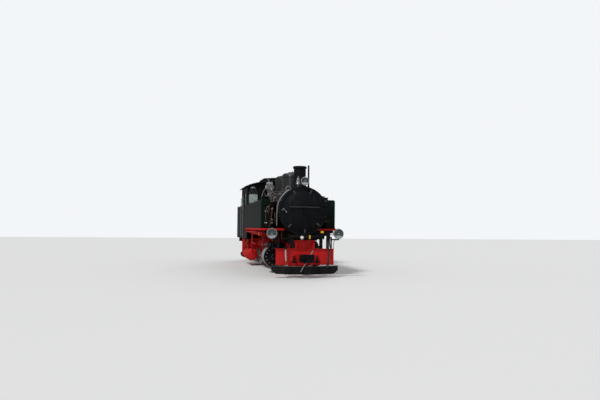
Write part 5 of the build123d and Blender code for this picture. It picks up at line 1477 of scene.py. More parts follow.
@dataclass
class ChimneyTop:
    """Foot bolts and bands of the chimney, and the bell's bands and yoke."""

    x: float = 4.200
    foot_r: float = 0.262
    band_rows: Profile = ((0.234, 3.505), (0.2105, 3.025))
    bell: Point = (4.680, -0.140, 2.945)
    bell_rows: Profile = ((0.090, 0.001), (0.066, 0.082))

    def build(self) -> None:
        """Dress the chimney and the bell."""
        r, foot_z = self.foot_r, BOILER_Z + SMOKEBOX_R + 0.018
        places = [stand((self.x + r * math.cos(a), r * math.sin(a), foot_z),
                        (0.35 * math.cos(a), 0.35 * math.sin(a), 1.0)) for a in around(12, 0.26)]
        settle(copies(nut(0.013, 0.016), places), "chimney_foot_bolts", SMOKEBOX_BLACK)
        rows = [(radius, at(self.x, 0, z)) for radius, z in self.band_rows]
        settle(bands(rows, (0.016, 0.012, 0.004), 48), "chimney_bands", SMOKEBOX_BLACK)
        x, y, z = self.bell
        rows = [(radius, at(x, y, z + rise)) for radius, rise in self.bell_rows]
        settle(bands(rows, (0.012, 0.010, 0.004), 40), "bell_bands", PALE_STEEL)
        strap = drawn([(x, -0.250, 2.96), (x, -0.252, 3.19), (x, y, 3.215), (x, -0.028, 3.19),
                       (x, -0.030, 2.96)], 0.010)
        settle(strap, "bell_yoke", BLACK)


@dataclass
class DomeFittings:
    """Lid bolts, handles, sand pipes and foot pipes of both domes."""

    sand_x: float = 2.800
    steam_x: float = 1.150
    pipe_r: float = 0.752
    arch: Run = (0.019, ((3.20, -0.292, 2.62), (3.20, -0.292, 2.80), (3.20, -0.282, 2.955),
                         (3.20, -0.205, 2.975), (3.20, -0.128, 2.955), (3.20, -0.118, 2.80),
                         (3.20, -0.118, 2.66)))
    trap_xs: Row = (2.56, 3.04)

    def build(self) -> None:
        """Dress the domes and the barrel round them."""
        places = ring_places((self.sand_x, 0, 3.490), 0.125, 8, Way.UP)
        places += ring_places((self.steam_x, 0, 3.494), 0.150, 10, Way.UP)
        settle(copies(nut(0.012, 0.014), places), "dome_bolts", BOILER_BLACK)
        eyes = [(0.008, [(x - 0.035, 0.0, z), (x - 0.035, 0.0, z + 0.045), (x + 0.035, 0.0, z + 0.045),
                         (x + 0.035, 0.0, z)]) for x, z in ((self.sand_x, 3.488), (self.steam_x, 3.492))]
        settle(pipes(eyes), "dome_eyes", BOILER_BLACK)
        rows = [(0.3735, at(self.sand_x, 0, 2.955)), (0.3635, at(self.steam_x, 0, 2.955)),
                (0.3735, at(self.sand_x, 0, 3.285))]
        settle(bands(rows, (0.030, 0.008, 0.003), 56), "dome_bands", BOILER_BLACK)
        runs = [self.sand_pipe(side, x) for side in Side
                for x in (self.sand_x - 0.24, self.sand_x + 0.24, self.sand_x + 0.02)]
        settle(pipes(runs), "sand_pipes", BOILER_BLACK)
        settle(pipes([self.arch]), "dome_arch_pipe", GREY_METAL)
        pot = turned([(0.040, 0.0), (0.040, 0.05), (0.028, 0.07), (0.028, 0.12), (0.036, 0.13)], 20)
        trap = joined([pot, slab((-0.05, -0.03, 0.01), (0.05, 0.03, 0.03), 0.004)])
        settle(copies(trap, barrel_pairs(self.trap_xs, BOILER_R - 0.004, 1.02)), "sand_traps", GREY_METAL)

    def sand_pipe(self, side: Side, x: float) -> Run:
        """Pipe from the sand dome round the barrel on one side."""
        sign, r = side.value, self.pipe_r
        bend = [(x, sign * r * math.cos(a), BOILER_Z + r * math.sin(a)) for a in between(0.12, 0.94, 6)]
        return 0.013, [(x, sign * 0.747, 1.72)] + bend + [(x, sign * 0.36, 2.78)]


@dataclass
class BoilerTop:
    """Valves, bright pipe runs and generator fittings ahead of the cab.

    A pipe is its radius and points, a valve its foot and direction, a generator band its X and radius.
    """

    bright: Sequence[Run] = (
        (0.019, ((-0.28, -0.19, 2.86), (-0.28, -0.44, 2.84), (-0.20, -0.62, 2.70), (0.10, -0.735, 2.545),
                 (3.90, -0.735, 2.545), (4.10, -0.80, 2.545), (4.16, -0.86, 2.47), (4.16, -0.88, 2.38))),
        (0.016, ((-0.22, -0.15, 2.92), (-0.05, -0.42, 2.92), (0.06, -0.60, 2.72), (0.34, -0.66, 2.53),
                 (2.60, -0.66, 2.53), (2.85, -0.52, 2.66), (3.10, -0.40, 2.75))),
        (0.022, ((-0.42, -0.36, 3.27), (-0.42, -0.36, 3.36), (-0.42, -0.42, 3.44), (-0.42, -0.42, 3.50))),
        (0.017, ((-0.15, -0.16, 2.93), (-0.04, -0.28, 2.96), (-0.06, -0.35, 3.08), (-0.14, -0.35, 3.13))),
        (0.014, ((-0.30, -0.50, 3.14), (-0.22, -0.62, 3.04), (0.10, -0.72, 2.84), (0.40, -0.80, 2.62),
                 (0.44, -0.83, 2.49))),
        (0.020, ((-0.68, -0.70, 2.78), (-0.40, -0.70, 2.72), (0.30, -0.74, 2.60), (0.34, -0.80, 2.49))),
        (0.015, ((-0.68, -0.52, 2.92), (-0.30, -0.55, 2.84), (0.42, -0.56, 2.62), (0.90, -0.60, 2.52),
                 (1.60, -0.60, 2.52))))
    copper: Sequence[Run] = (
        (0.012, ((-0.68, -0.60, 2.66), (-0.30, -0.63, 2.62), (0.60, -0.69, 2.50), (3.95, -0.69, 2.50),
                 (4.06, -0.80, 2.46), (4.08, -0.90, 2.34))),
        (0.012, ((-0.68, 0.60, 2.62), (0.40, 0.69, 2.51), (3.70, 0.69, 2.51), (3.95, 0.80, 2.30),
                 (4.08, 0.93, 1.75))),
        (0.015, ((-0.33, 0.11, 2.92), (-0.10, 0.30, 2.90), (0.10, 0.55, 2.66), (0.50, 0.62, 2.52),
                 (1.70, 0.62, 2.52))))
    valves: Sequence[Spot] = (
        ((-0.20, -0.19, 2.90), Way.RIGHT), ((-0.34, -0.19, 2.88), Way.RIGHT), ((-0.20, 0.19, 2.90), Way.LEFT),
        ((-0.10, -0.05, 2.88), Way.AHEAD), ((-0.34, 0.02, 2.92), Way.UP), ((-0.28, -0.44, 2.84), Way.UP),
        ((0.30, -0.735, 2.55), Way.UP), ((1.60, -0.66, 2.53), Way.UP))
    clasp_xs: Row = (2.24, 1.63, 0.59, -0.06)
    generator_y: float = -0.350
    generator_z: float = 3.135
    generator_bands: Profile = ((-0.458, 0.156), (-0.262, 0.156), (-0.150, 0.121))

    def valve(self) -> Piece:
        """Stop valve with its hand wheel."""
        body = turned([(0.030, 0.0), (0.034, 0.03), (0.022, 0.06), (0.022, 0.08), (0.009, 0.09),
                       (0.009, 0.145)], 16)
        wheel = hoop(0.048, 0.012, 0.010, 0.004, 24)
        wheel.location.z += 0.128
        spoke = slab((-0.044, -0.005, 0.131), (0.044, 0.005, 0.139), 0.002)
        cross = slab((-0.005, -0.044, 0.131), (0.005, 0.044, 0.139), 0.002)
        return joined([body, wheel, spoke, cross])

    def build(self) -> None:
        """Pipes first, then valves, bands and the generator."""
        settle(pipes(self.bright), "bright_pipes", PALE_STEEL)
        settle(pipes(self.copper), "copper_runs", COPPER)
        settle(copies(self.valve(), spots(self.valves)), "stop_valves", GREY_METAL)
        clack = bolted([(0.060, 0.0), (0.060, 0.02), (0.042, 0.03), (0.046, 0.11), (0.030, 0.13),
                        (0.030, 0.17)], 20, (0.009, 0.012), (0.02, 0.050, 6))
        settle(copies(clack, barrel_pairs((1.70,), BOILER_R - 0.006, 0.62)), "check_valves", GREY_METAL)
        clasp = slab((-0.030, -0.040, -0.004), (0.030, 0.040, 0.016), 0.005)
        clasps = barrel_pairs(self.clasp_xs, BOILER_R + 0.006, 0.80)
        settle(copies(clasp, clasps), "band_clasps", BOILER_BLACK)
        plug = turned([(0.052, 0.0), (0.052, 0.012), (0.034, 0.016), (0.030, 0.034), (0.016, 0.038)], 20)
        plugs = barrel_pairs((0.20, -0.35), BOILER_R - 0.002, 0.55)
        plugs += barrel_pairs((1.95,), BOILER_R - 0.002, 1.1)
        settle(copies(plug, plugs), "washout_plugs", BRASS)
        self.build_generator()

    def build_generator(self) -> None:
        """Governor box, bands and bolts of the lamp generator."""
        y, z = self.generator_y, self.generator_z
        box = [((-0.450, -0.500, 3.262), (-0.215, -0.265, 3.352), 0.016),
               ((-0.400, -0.545, 3.080), (-0.270, -0.485, 3.225), 0.014)]
        # The box's pale colour is a painted highlight.
        settle(slabs(box), "generator_box", PALE_CASING_PAINTED_HIGHLIGHT)
        rows = [(radius, stand((x, y, z), Way.AHEAD)) for x, radius in self.generator_bands]
        settle(bands(rows, (0.016, 0.010, 0.004), 48), "generator_bands", PALE_STEEL)
        bolts = ring_places((-0.130, y, z), 0.090, 8, Way.AHEAD)
        bolts += ring_places((-0.240, y, z), 0.133, 10, Way.AHEAD)
        settle(copies(nut(0.010, 0.012), bolts), "generator_bolts", BLACK)


@dataclass
class PumpFittings:
    """Head bolts, copper pipes and cocks of the air pump, and the oil pump's pipes.

    A ring of nuts is its height over the foot, its radius and its count.
    """

    x: float = 4.190
    y: float = -0.930
    base: float = BOARD_TOP
    nut_rings: Sequence[tuple[float, float, int]] = (
        (0.850, 0.075, 8), (0.763, 0.124, 10), (0.308, 0.124, 10))
    copper: Sequence[Run] = (
        (0.016, ((4.31, -0.90, 2.20), (4.36, -0.92, 2.16), (4.365, -0.95, 1.90), (4.35, -0.98, 1.66),
                 (4.30, -1.02, 1.54))),
        (0.014, ((4.20, -1.05, 2.24), (4.22, -1.115, 2.18), (4.23, -1.12, 1.90), (4.20, -1.10, 1.70),
                 (4.12, -1.08, 1.53))),
        (0.012, ((4.32, -0.86, 2.05), (4.37, -0.84, 2.02), (4.37, -0.84, 1.72), (4.30, -0.82, 1.62))),
        (0.010, ((4.26, -1.00, 2.30), (4.33, -1.03, 2.24), (4.34, -1.04, 2.04), (4.30, -1.03, 1.98))))
    valves: Sequence[Spot] = (
        ((4.320, -0.930, 1.700), Way.AHEAD), ((4.190, -1.060, 1.700), Way.RIGHT),
        ((4.325, -0.930, 2.150), Way.AHEAD), ((4.190, -0.930, 2.375), Way.UP),
        ((4.310, -0.930, 1.800), Way.AHEAD), ((4.190, -1.052, 2.080), Way.RIGHT))
    oil_ys: Row = (0.86, 0.90, 0.94, 0.98)

    def build(self) -> None:
        """Dress the air pump, then the oil pump."""
        places = [place for rise, radius, count in self.nut_rings
                  for place in ring_places((self.x, self.y, self.base + rise), radius, count, Way.UP)]
        settle(copies(nut(0.010, 0.014), places), "pump_nuts", BLACK)
        settle(pipes(self.copper), "pump_pipes", COPPER)
        valve = turned([(0.026, 0.0), (0.030, 0.02), (0.018, 0.04), (0.018, 0.07), (0.026, 0.08),
                        (0.012, 0.10)], 14)
        settle(copies(valve, spots(self.valves)), "pump_valves", GREY_METAL)
        fins = [(0.142, at(self.x, self.y, self.base + rise)) for rise in between(0.075, 0.265, 7)]
        settle(bands(fins, (0.008, 0.012, 0.003), 40), "pump_fins", BLACK)
        lines = [(0.007, [(4.30, y, 1.715), (4.30, y, 1.80), (4.22, y - 0.02, 1.83),
                          (4.02, 0.80 - 0.1 * (y - 0.87), 1.80), (3.95, 0.77, 1.62)]) for y in self.oil_ys]
        settle(pipes(lines), "oil_lines", COPPER)
        corners = [stand((x, y, 1.715), Way.UP) for x in (4.08, 4.30) for y in (0.87, 0.99)]
        settle(copies(nut(0.012, 0.016), corners), "oil_pump_nuts", BLACK)


@dataclass
class TankFittings:
    """Lifting eyes, rivets, clamps and front rails of both side tanks."""

    eye_xs: Row = (3.70, 1.60, -0.40)
    rivet_y: float = 1.262
    edge_ys: Row = (-1.225, 1.225, -0.815, 0.815)
    grip_y: float = 1.12
    rail_y: float = 1.19
    filler_y: float = 1.020
    gauge_y: float = 0.86

    def build(self) -> None:
        """Dress both tanks, with the clamps on the filler lids."""
        eye = drawn([(-0.045, 0, 0), (-0.045, 0, 0.060), (0.045, 0, 0.060), (0.045, 0, 0)], 0.010)
        tops = [at(x, y, 2.483) for y in (0.95, -0.95) for x in self.eye_xs]
        settle(copies(eye, tops), "tank_eyes", BLACK)
        rows = [stand((x, y, 1.545), outward(y)) for x in between(-0.62, 3.94, 32)
                for y in pair(self.rivet_y)]
        rows += [stand((TANK_FRONT_X, y, z), Way.AHEAD) for y in self.edge_ys
                 for z in between(1.60, 2.36, 10)]
        settle(copies(rivet(0.0085), rows), "tank_rivets", TANK_BLACK_AND_GREEN_REFLECTION)
        grips = [(0.010, [(3.998, y, 2.33), (4.045, y, 2.33), (4.045, y, 1.93), (3.998, y, 1.93)])
                 for y in pair(self.grip_y)]
        grips += [(0.010, [(1.40, y, 2.484), (1.40, y, 2.530), (2.90, y, 2.530), (2.90, y, 2.484)])
                  for y in pair(self.rail_y)]
        settle(pipes(grips), "tank_grips", BLACK)
        for side in Side:
            self.clamp_lid(side)
        gauge_ys = pair(self.gauge_y)
        gauge = [rod((4.024, y, 1.62), (4.024, y, 2.30), 0.011, 12) for y in gauge_ys]
        gauge += [slab((3.998, y - 0.02, z), (4.040, y + 0.02, z + 0.035), 0.004)
                  for y in gauge_ys for z in (1.61, 2.28)]
        settle(joined(gauge), "tank_gauges", BRASS)

    def clamp_lid(self, side: Side) -> None:
        """Put the bar, latch and screw handle on one filler's lid."""
        y = side.value * self.filler_y
        clamp = joined([slab((3.130, y - 0.014, 2.601), (3.372, y + 0.014, 2.619), 0.004),
                        slab((3.360, y - 0.020, 2.560), (3.380, y + 0.020, 2.619), 0.004),
                        rod((3.20, y, 2.615), (3.20, y, 2.650), 0.014),
                        rod((3.20, y - 0.07, 2.645), (3.20, y + 0.07, 2.645), 0.009)])
        settle(clamp, f"lid_clamp_{side.label}", BLACK, f"filler_lid_{side.label}")


@dataclass
class BoardFittings:
    """Rivets, rails and lattice of the running boards and steps."""

    edge_y: float = 1.290
    rail_y: float = 1.245
    rail_zs: Row = (1.392, 1.330)
    hanger_y: float = 1.220
    lattice_y: float = 1.205
    tread_y: float = 1.17
    pipe_y: float = 1.02
    injector_y: float = 1.10

    def build(self) -> None:
        """Dress the boards' edges and what hangs below them."""
        rows = [stand((x, y, BOARD_TOP - 0.045), outward(y)) for x in between(-0.62, 4.00, 40)
                for y in pair(self.edge_y)]
        settle(copies(rivet(0.0085), rows), "board_rivets", FRAME_RED)
        rails = [(0.013, [(1.18, y, z), (4.02, y, z), (4.10, y * 0.98, z - 0.03)])
                 for y in pair(self.rail_y) for z in self.rail_zs]
        rails += [(0.020, [(1.19, y, 1.44), (1.19, y, 1.02), (1.30, y, 0.97), (1.60, y * 0.93, 0.94)])
                  for y in pair(self.hanger_y)]
        settle(pipes(rails), "board_rails", FRAME_RED)
        bars = [bar for y in pair(self.lattice_y) for bar in self.lattice(y)]
        settle(joined(bars), "step_lattice", FRAME_RED)
        treads = [((-2.64, y - 0.035, z + 0.012), (-2.14, y + 0.035, z + 0.018), 0.002)
                  for y in pair(self.tread_y) for z in (0.355, 0.645)]
        settle(slabs(treads), "step_treads", WORN_BLACK)
        runs = [(0.018, [(-2.9, y, 1.02), (-0.7, y, 1.02), (0.2, y, 1.36), (3.9, y, 1.40), (4.3, y, 1.36),
                         (5.0, y * 0.8, 1.02), (5.19, y * 0.8, 0.93)]) for y in pair(self.pipe_y)]
        settle(pipes(runs), "under_board_pipes", BLACK)
        y = -self.injector_y
        injector = joined([rod((-1.95, y, 0.90), (-1.45, y, 0.90), 0.045),
                           rod((-1.80, y, 0.90), (-1.80, y, 1.06), 0.026),
                           rod((-1.55, y, 0.90), (-1.55, y, 1.06), 0.022),
                           rod((-1.68, y, 0.80), (-1.68, y, 0.92), 0.020)])
        settle(copies(injector, [at(0, 0, 0), at(0, 2 * self.injector_y, 0)]), "injectors", BRASS)

    def lattice(self, y: float) -> list[Piece]:
        """Crossed bars of the steps, and of the reservoirs' hangers, on the side of y."""
        back, front, inner = -2.66, -2.12, y * 0.97
        rows = (((back, y, 0.68), (front, y, 1.07), 0.013), ((front, y, 0.68), (back, y, 1.07), 0.013),
                ((back, y, 1.02), (front, y, 1.02), 0.013),
                ((-0.80, inner, 1.00), (-2.00, inner, 0.72), 0.014),
                ((-0.80, inner, 0.72), (-2.00, inner, 1.00), 0.014),
                ((-0.70, inner, 1.03), (-2.05, inner, 1.03), 0.018))
        return [rod(start, end, radius, 10) for start, end, radius in rows]


@dataclass
class CylinderFittings:
    """Cover nuts, casing bands with a painted highlight, and drain cocks of both cylinders."""

    front_x: float = 3.352
    back_x: float = 2.690
    chest_x: float = 3.405
    boss_x: float = 3.390
    casing_x: float = 2.785
    casing_long: float = 0.470
    rim_xs: Row = (2.728, 3.288)
    cock_xs: Row = (2.78, 3.02, 3.26)
    valve_x: float = 2.98

    def build(self) -> None:
        """Dress both cylinders alike."""
        places = []
        small = []
        ys = pair(CYLINDER_Y)
        for y in ys:
            places += ring_places((self.front_x, y, CYLINDER_Z), 0.268, 14, Way.AHEAD)
            places += ring_places((self.back_x, y, CYLINDER_Z), 0.262, 12, Way.BEHIND)
            small += ring_places((self.chest_x, math.copysign(VALVE_Y, y), VALVE_Z), 0.098, 8, Way.AHEAD)
            small += ring_places((self.boss_x, y, CYLINDER_Z), 0.082, 8, Way.AHEAD)
        settle(copies(nut(0.017, 0.024), places), "cylinder_nuts", GREY_METAL)
        settle(copies(nut(0.011, 0.015), small), "valve_chest_nuts", GREY_METAL)
        # The casing band's pale colour is a painted highlight.
        casing = hoop(CYLINDER_R + 0.008, self.casing_long, 0.007, 0.003, 72)
        casings = [stand((self.casing_x, y, CYLINDER_Z), Way.AHEAD) for y in ys]
        settle(copies(casing, casings), "cylinder_casing", PALE_CASING_PAINTED_HIGHLIGHT)
        rim = hoop(CYLINDER_R + 0.014, 0.022, 0.016, 0.005, 72)
        rims = [stand((x, y, CYLINDER_Z), Way.AHEAD) for y in ys for x in self.rim_xs]
        settle(copies(rim, rims), "cylinder_rims", PALE_STEEL)
        cock = turned([(0.020, 0.0), (0.020, 0.02), (0.012, 0.03), (0.012, 0.055), (0.018, 0.06),
                       (0.018, 0.08)], 12)
        cocks = [stand((x, y, CYLINDER_Z - CYLINDER_R + 0.006), Way.DOWN) for y in ys for x in self.cock_xs]
        settle(copies(cock, cocks), "drain_cocks", BRASS)
        bars = [rod((2.72, y, 0.185), (3.31, y, 0.185), 0.007, 8) for y in pair(CYLINDER_Y + 0.03)]
        settle(joined(bars), "cock_bars", GREY_METAL)
        x = self.valve_x
        boxes = [rod((x, y, 1.085), (x, y, 1.165), 0.052, 20) for y in pair(VALVE_Y)]
        boxes += [rod((x, y, 1.165), (x, y, 1.185), 0.066, 20) for y in pair(VALVE_Y)]
        settle(joined(boxes), "relief_valves", BRASS)


@dataclass(frozen=True)
class RodSet:
    """Where one side's rods stand at rest.

    Attributes:
        side: The side of the locomotive.
        pin_x: How far its crank pins stand ahead of their axles.
        pin_z: Height of its crank pins.
        wrist_x: Place of its crosshead's pin along X.
    """

    side: Side
    pin_x: float
    pin_z: float
    wrist_x: float


@dataclass
class MotionFittings:
    """Pin caps, oil cups and nuts of the wheels, rods and crossheads."""

    rods: Sequence[RodSet] = (
        RodSet(Side.LEFT, 0.200, AXLE_Z, 2.1951), RodSet(Side.RIGHT, 0.0, AXLE_Z - 0.200, 1.9709))
    hub_y: float = 0.470
    pin_y: float = 0.6475
    driven: int = 3
    knuckle_xs: Row = (1.15, 0.15, -0.15, -1.15)
    cup_y: float = 0.610
    link_y: float = 0.832
    link_rows: Profile = ((1.420, -0.280), (1.420, 0.160), (2.390, 0.060), (2.390, 0.0))

    def oil_cup(self) -> Piece:
        """Oil cup with a knurled cap."""
        return turned([(0.019, -0.010), (0.019, 0.014), (0.011, 0.018), (0.015, 0.022), (0.015, 0.034),
                       (0.008, 0.037)], 12)

    def build(self) -> None:
        """Dress each moving body in turn."""
        for n, x in enumerate(COUPLED_X, start=1):
            self.dress_coupled(n, x)
        for body, x in CARRYING_X.items():
            cap = bolted([(0.046, 0.0), (0.046, 0.010), (0.030, 0.014)], 20,
                         (0.009, 0.010), (-0.002, 0.064, 6))
            hubs = [stand((x, side.value * self.hub_y, CARRYING_Z), side.way) for side in Side]
            settle(copies(cap, hubs), f"{body}_hubs", FRAME_RED, body)
        for rods in self.rods:
            self.dress_coupling(rods)
        for rods in self.rods:
            self.dress_main(rods)
        link = [stand((x, side.value * self.link_y, VALVE_Z + rise), side.way) for side in Side
                for x, rise in self.link_rows]
        settle(copies(nut(0.018, 0.016), link), "valve_gear_nuts", BRIGHT_STEEL)

    def dress_coupled(self, number: int, x: float) -> None:
        """Put hub caps and pin nuts on a coupled wheelset, by its number from the front and its place."""
        body = f"coupled_wheelset_{number}"
        cap = bolted([(0.056, 0.0), (0.056, 0.012), (0.036, 0.018), (0.034, 0.028)], 20,
                     (0.010, 0.012), (-0.002, 0.082, 8))
        hubs = [stand((x, side.value * self.hub_y, AXLE_Z), side.way) for side in Side]
        settle(copies(cap, hubs), f"{body}_hubs", FRAME_RED, body)
        if number != self.driven:
            rise = 0.007 if number == 1 else 0.018
            pins = [stand((x + rods.pin_x, rods.side.value * self.pin_y, rods.pin_z), rods.side.way)
                    for rods in self.rods]
            settle(copies(nut(0.030, rise), pins), f"{body}_pin_nuts", BRIGHT_STEEL, body)

    def dress_coupling(self, rods: RodSet) -> None:
        """Put oil cups and knuckle nuts on one side's coupling rods."""
        side, body = rods.side, f"coupling_rods_{rods.side.label}"
        cups = [at(x + rods.pin_x, side.value * self.cup_y, rods.pin_z + 0.078) for x in COUPLED_X]
        settle(copies(self.oil_cup(), cups), f"{body}_cups", BRASS, body)
        knuckles = [stand((x + rods.pin_x, side.value * 0.637, rods.pin_z), side.way)
                    for x in self.knuckle_xs]
        settle(copies(nut(0.024, 0.014), knuckles), f"{body}_nuts", BRIGHT_STEEL, body)

    def dress_main(self, rods: RodSet) -> None:
        """Put oil cups and nuts on one side's main rod, and a nut on its crosshead."""
        side, sign, name = rods.side, rods.side.value, rods.side.label
        body = f"main_rod_{name}"
        slope = math.atan2(CYLINDER_Z - rods.pin_z, rods.wrist_x - rods.pin_x)
        lean = at(rods.pin_x, sign * CYLINDER_Y, rods.pin_z) @ Matrix.Rotation(-slope, 4, "Y")
        cups = [lean @ at(0.0, 0.0, 0.108), lean @ at(2.0, 0.0, 0.066)]
        settle(copies(self.oil_cup(), cups), f"{body}_cups", BRASS, body)
        wedge = [lean @ at(dx, sign * 0.038, dz) @ stand((0, 0, 0), side.way)
                 for dx in pair(0.085) for dz in pair(0.075)]
        settle(copies(nut(0.013, 0.012), wedge), f"{body}_nuts", BRIGHT_STEEL, body)
        pin = [stand((rods.wrist_x, sign * 0.764, CYLINDER_Z), side.way)]
        settle(copies(nut(0.028, 0.008), pin), f"crosshead_{name}_nut", BRIGHT_STEEL, f"crosshead_{name}")


@dataclass
class CabFittings:
    """Window beads, gutters, roof ribs, door handles and gauges of the cab."""

    side_y: float = CAB_SIDE_Y + 0.002
    arch_y: float = 0.990
    eave_y: float = 1.322
    eave_z: float = 3.200
    crown: float = 0.258
    eave_angle: float = 0.52
    rib_xs: Row = (-0.600, -1.300, -1.980, -2.520, -3.050)
    backhead_x: float = -1.352
    gauges: Sequence[Point] = (
        (0.16, 2.52, 0.080), (-0.16, 2.52, 0.080), (0.36, 2.36, 0.055), (-0.38, 2.36, 0.055))
    levers: Sequence[Block] = (
        ((-1.352, 0.0, 2.66), (-1.47, 0.0, 2.66), 0.020), ((-1.46, 0.0, 2.66), (-1.50, -0.42, 2.50), 0.016),
        ((-1.352, 0.24, 2.02), (-1.41, 0.24, 2.02), 0.014), ((-1.41, 0.24, 2.24), (-1.41, 0.24, 1.94), 0.013),
        ((-1.352, -0.24, 2.02), (-1.41, -0.24, 2.02), 0.014),
        ((-1.41, -0.24, 2.24), (-1.41, -0.24, 1.94), 0.013))

    def bead(self, corners: Sequence[Point]) -> Piece:
        """Bead along a window's edge, through its corners."""
        path = []
        for start, end in zip(corners, corners[1:]):
            path += [start, tuple(0.94 * a + 0.06 * b for a, b in zip(start, end)),
                     tuple(0.06 * a + 0.94 * b for a, b in zip(start, end))]
        return drawn(path + [corners[-1]], 0.010, 1)

    def arched(self, x: float, y: float, half: float, low: float, top: float) -> Piece:
        """Bead round a window with an arched head.

        Args:
            x: Place of the window's pane.
            y: Its middle.
            half: Half its width.
            low: Height of its sill.
            top: Height of its crown.

        Returns:
            The bead.
        """
        spring = top - half
        path = [(x, y - half, low), (x, y - half, spring)]
        path += [(x, y - half * math.cos(a), spring + half * math.sin(a))
                 for a in between(0.30, math.pi - 0.30, 7)]
        path += [(x, y + half, spring), (x, y + half, low), (x, y - half, low)]
        return drawn(path, 0.012, 1)

    def rib(self, x: float) -> Piece:
        """Rib across the roof at x."""
        half = self.eave_angle
        arc = [(x, self.eave_y * math.sin(a) / math.sin(half),
                self.eave_z + self.crown * (math.cos(a) - math.cos(half)) / (1 - math.cos(half)))
               for a in between(-half, half, 9)]
        return drawn(arc, 0.009, 1)

    def build(self) -> None:
        """Dress the cab outside, then inside."""
        beads = [self.arched(CAB_FRONT_X + 0.002, y, 0.190, 2.355, 3.200) for y in pair(self.arch_y)]
        for y in pair(self.side_y):
            beads.append(self.bead([(-1.0, y, 2.355), (-1.0, y, 3.005), (-1.8, y, 3.005), (-1.8, y, 2.355),
                                    (-1.0, y, 2.355)]))
            beads.append(self.bead([(-2.08, y, 2.62), (-2.08, y, 3.105), (-2.70, y, 3.105),
                                    (-2.70, y, 2.62)]))
        settle(joined(beads), "window_beads", BLACK)
        gutters = [rod((-0.592, y, 3.192), (-3.058, y, 3.192), 0.012, 10) for y in pair(self.eave_y)]
        settle(joined(gutters + [self.rib(x) for x in self.rib_xs]), "roof_ribs", ROOF_GREY)
        strips = [((-1.84, y - 0.010, 2.325), (-0.96, y + 0.010, 2.345), 0.004) for y in pair(1.250)]
        strips += [((-2.05, y - 0.006, 1.09), (-0.72, y + 0.006, 1.13), 0.003) for y in pair(1.243)]
        settle(slabs(strips), "cab_strips", BLACK)
        for side in Side:
            self.door_handle(side)
        self.build_inside()

    def door_handle(self, side: Side) -> None:
        """Put the handle on one cab door."""
        door = f"cab_door_{side.label}"
        (x0, y0, _), (_, y1, _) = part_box(door)
        face = y1 if side is Side.LEFT else y0
        handle = joined([turned([(0.026, 0.0), (0.026, 0.010), (0.012, 0.016), (0.012, 0.034)], 16),
                         slab((-0.010, -0.010, 0.026), (0.115, 0.010, 0.038), 0.004)])
        boss = stand((x0 + 0.09, face, 2.02), side.way)
        settle(copies(handle, [boss]), f"door_handle_{side.label}", GREY_METAL, door)

    def build_inside(self) -> None:
        """Gauges, levers and valves on the boiler's back."""
        rows = [(radius, stand((self.backhead_x, y, z), Way.BEHIND)) for y, z, radius in self.gauges]
        settle(bands(rows, (0.030, 0.010, 0.004), 28), "gauge_rims", BRASS)
        dials = [copies(turned([(radius - 0.011, 0.0), (radius - 0.011, 0.018)], 24), [place])
                 for radius, place in rows]
        settle(joined(dials), "gauge_dials", PLAIN_WHITE)
        levers = [rod(start, end, radius) for start, end, radius in self.levers]
        settle(joined(levers), "cab_levers", PALE_STEEL)


@dataclass
class RearFittings:
    """Rivets, irons, conduit and bearers of the bunker, and the reservoirs' bands, drains and pipes."""

    edge_y: float = 1.215
    side_y: float = 1.250
    eye_xs: Row = (-3.4, -4.6)
    rail_y: float = 1.10
    conduit: Run = (0.008, ((-5.12, 0.06, 2.18), (-5.075, 0.10, 2.05), (-5.075, 0.10, 1.40),
                            (-5.10, 0.30, 1.05), (-5.17, 0.40, 0.92)))
    tank_y: float = 1.010
    tank_z: float = 0.455
    band_xs: Row = (-1.78, -0.86)
    bearer_y: float = 0.725

    def build(self) -> None:
        """Dress the bunker and the reservoirs."""
        back = BUNKER_BACK_X
        rows = [stand((back, y, z), Way.BEHIND) for y in between(-1.20, 1.20, 25) for z in (1.12, 2.03)]
        rows += [stand((back, y, z), Way.BEHIND) for y in pair(self.edge_y) for z in between(1.20, 1.95, 9)]
        rows += [stand((x, y, 1.12), outward(y)) for x in between(-4.98, -3.02, 22)
                 for y in pair(self.side_y)]
        settle(copies(rivet(0.0085), rows), "bunker_rivets", BLACK)
        irons = [(0.009, [(x - 0.04, y, 2.47), (x - 0.04, y, 2.525), (x + 0.04, y, 2.525),
                          (x + 0.04, y, 2.47)]) for x in self.eye_xs for y in pair(1.24)]
        irons += [(0.011, [(back + 0.002, y, 1.95), (back - 0.050, y, 1.95), (back - 0.050, y, 1.45),
                           (back + 0.002, y, 1.45)]) for y in pair(self.rail_y)]
        settle(pipes(irons), "bunker_irons", BLACK)
        settle(pipes([self.conduit]), "rear_conduit", BLACK)
        tank_ys = pair(self.tank_y)
        places = [stand((x, y, self.tank_z), Way.AHEAD) for x in self.band_xs for y in tank_ys]
        settle(copies(hoop(0.242, 0.050, 0.009, 0.003, 48), places), "reservoir_bands", BLACK)
        drain = turned([(0.020, 0.0), (0.020, 0.03), (0.012, 0.04), (0.012, 0.06)], 12)
        settle(copies(drain, [stand((-1.3, y, 0.222), Way.DOWN) for y in tank_ys]), "reservoir_drains", BRASS)
        runs = [(0.016, [(-0.62, y, 0.56), (-0.50, y, 0.60), (-0.48, y, 0.90), (-0.46, y * 0.9, 1.06)])
                for y in tank_ys]
        settle(pipes(runs), "reservoir_pipes", BLACK)
        bearers = [((-4.965, y - 0.430, 0.890), (-4.945, y + 0.430, 1.100), 0.003)
                   for y in pair(self.bearer_y)]
        settle(slabs(bearers), "bunker_bearers", BLACK)


# Carried-over nodes


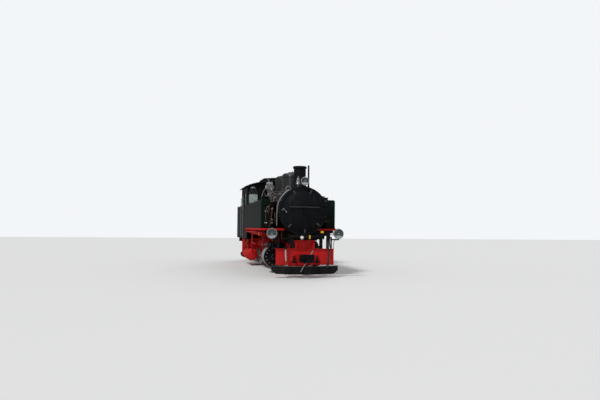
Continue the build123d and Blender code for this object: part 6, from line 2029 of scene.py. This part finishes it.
@dataclass
class NodeDresser:
    """Gives every CAD node its own finish.

    A pair is the tread's radius and the radius where the paint stops.
    """

    coupled: tuple[float, float] = (0.400, 0.345)
    carrying: tuple[float, float] = (0.275, 0.225)

    def build(self) -> None:
        """Assign a material to each node's slots."""
        finishes = dict(NODE_FINISHES)
        for n, x in enumerate(COUPLED_X, start=1):
            finishes[f"coupled_wheelset_{n}"] = wheel_finish(f"coupled_wheels_{n}", x, AXLE_Z, *self.coupled)
        for body, x in CARRYING_X.items():
            name = body.replace("wheelset", "wheels")
            finishes[body] = wheel_finish(name, x, CARRYING_Z, *self.carrying)
        for name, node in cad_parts.items():
            node.data.materials.clear()
            node.data.materials.append(finishes[name].material())


class Buildable(Protocol):
    """What main() can build."""

    def build(self) -> object:
        """Make its pieces."""


def main() -> None:
    """Build every piece in order."""
    steps: list[tuple[str, Buildable]] = [
        ("studio", Studio()),
        ("brake hose", HangingHose("brake_hose_tube", "brake_hose", BRAKE_HOSE_ROUTE, 0.048, 0.352,
                                   BRAKE_HOSE, "brake_hose_rubber", "connector")),
        ("heating hose", HangingHose("heating_hose_tube", "heating_hose", HEATING_HOSE_ROUTE, 0.060, 0.695,
                                     HEATING_HOSE, "heating_hose_rubber", "connector")),
        ("frame nodes", NodeDresser()),
        ("smokebox front", SmokeboxFront()),
        ("headlamps", Headlamps()),
        ("beam fittings", BeamFittings()),
        ("front coupler", CouplerFittings(End.FRONT)),
        ("rear coupler", CouplerFittings(End.REAR)),
        ("front stand", FrontStand()),
        ("plough fittings", PloughFittings()),
        ("chimney and bell", ChimneyTop()),
        ("dome fittings", DomeFittings()),
        ("boiler top", BoilerTop()),
        ("pump fittings", PumpFittings()),
        ("tank fittings", TankFittings()),
        ("board fittings", BoardFittings()),
        ("cylinder fittings", CylinderFittings()),
        ("motion fittings", MotionFittings()),
        ("cab fittings", CabFittings()),
        ("rear fittings", RearFittings()),
    ]
    for label, step in steps:
        step.build()
        log.info("%s built", label)


if __name__ == "__main__":
    logging.basicConfig(level=logging.INFO)
    main()
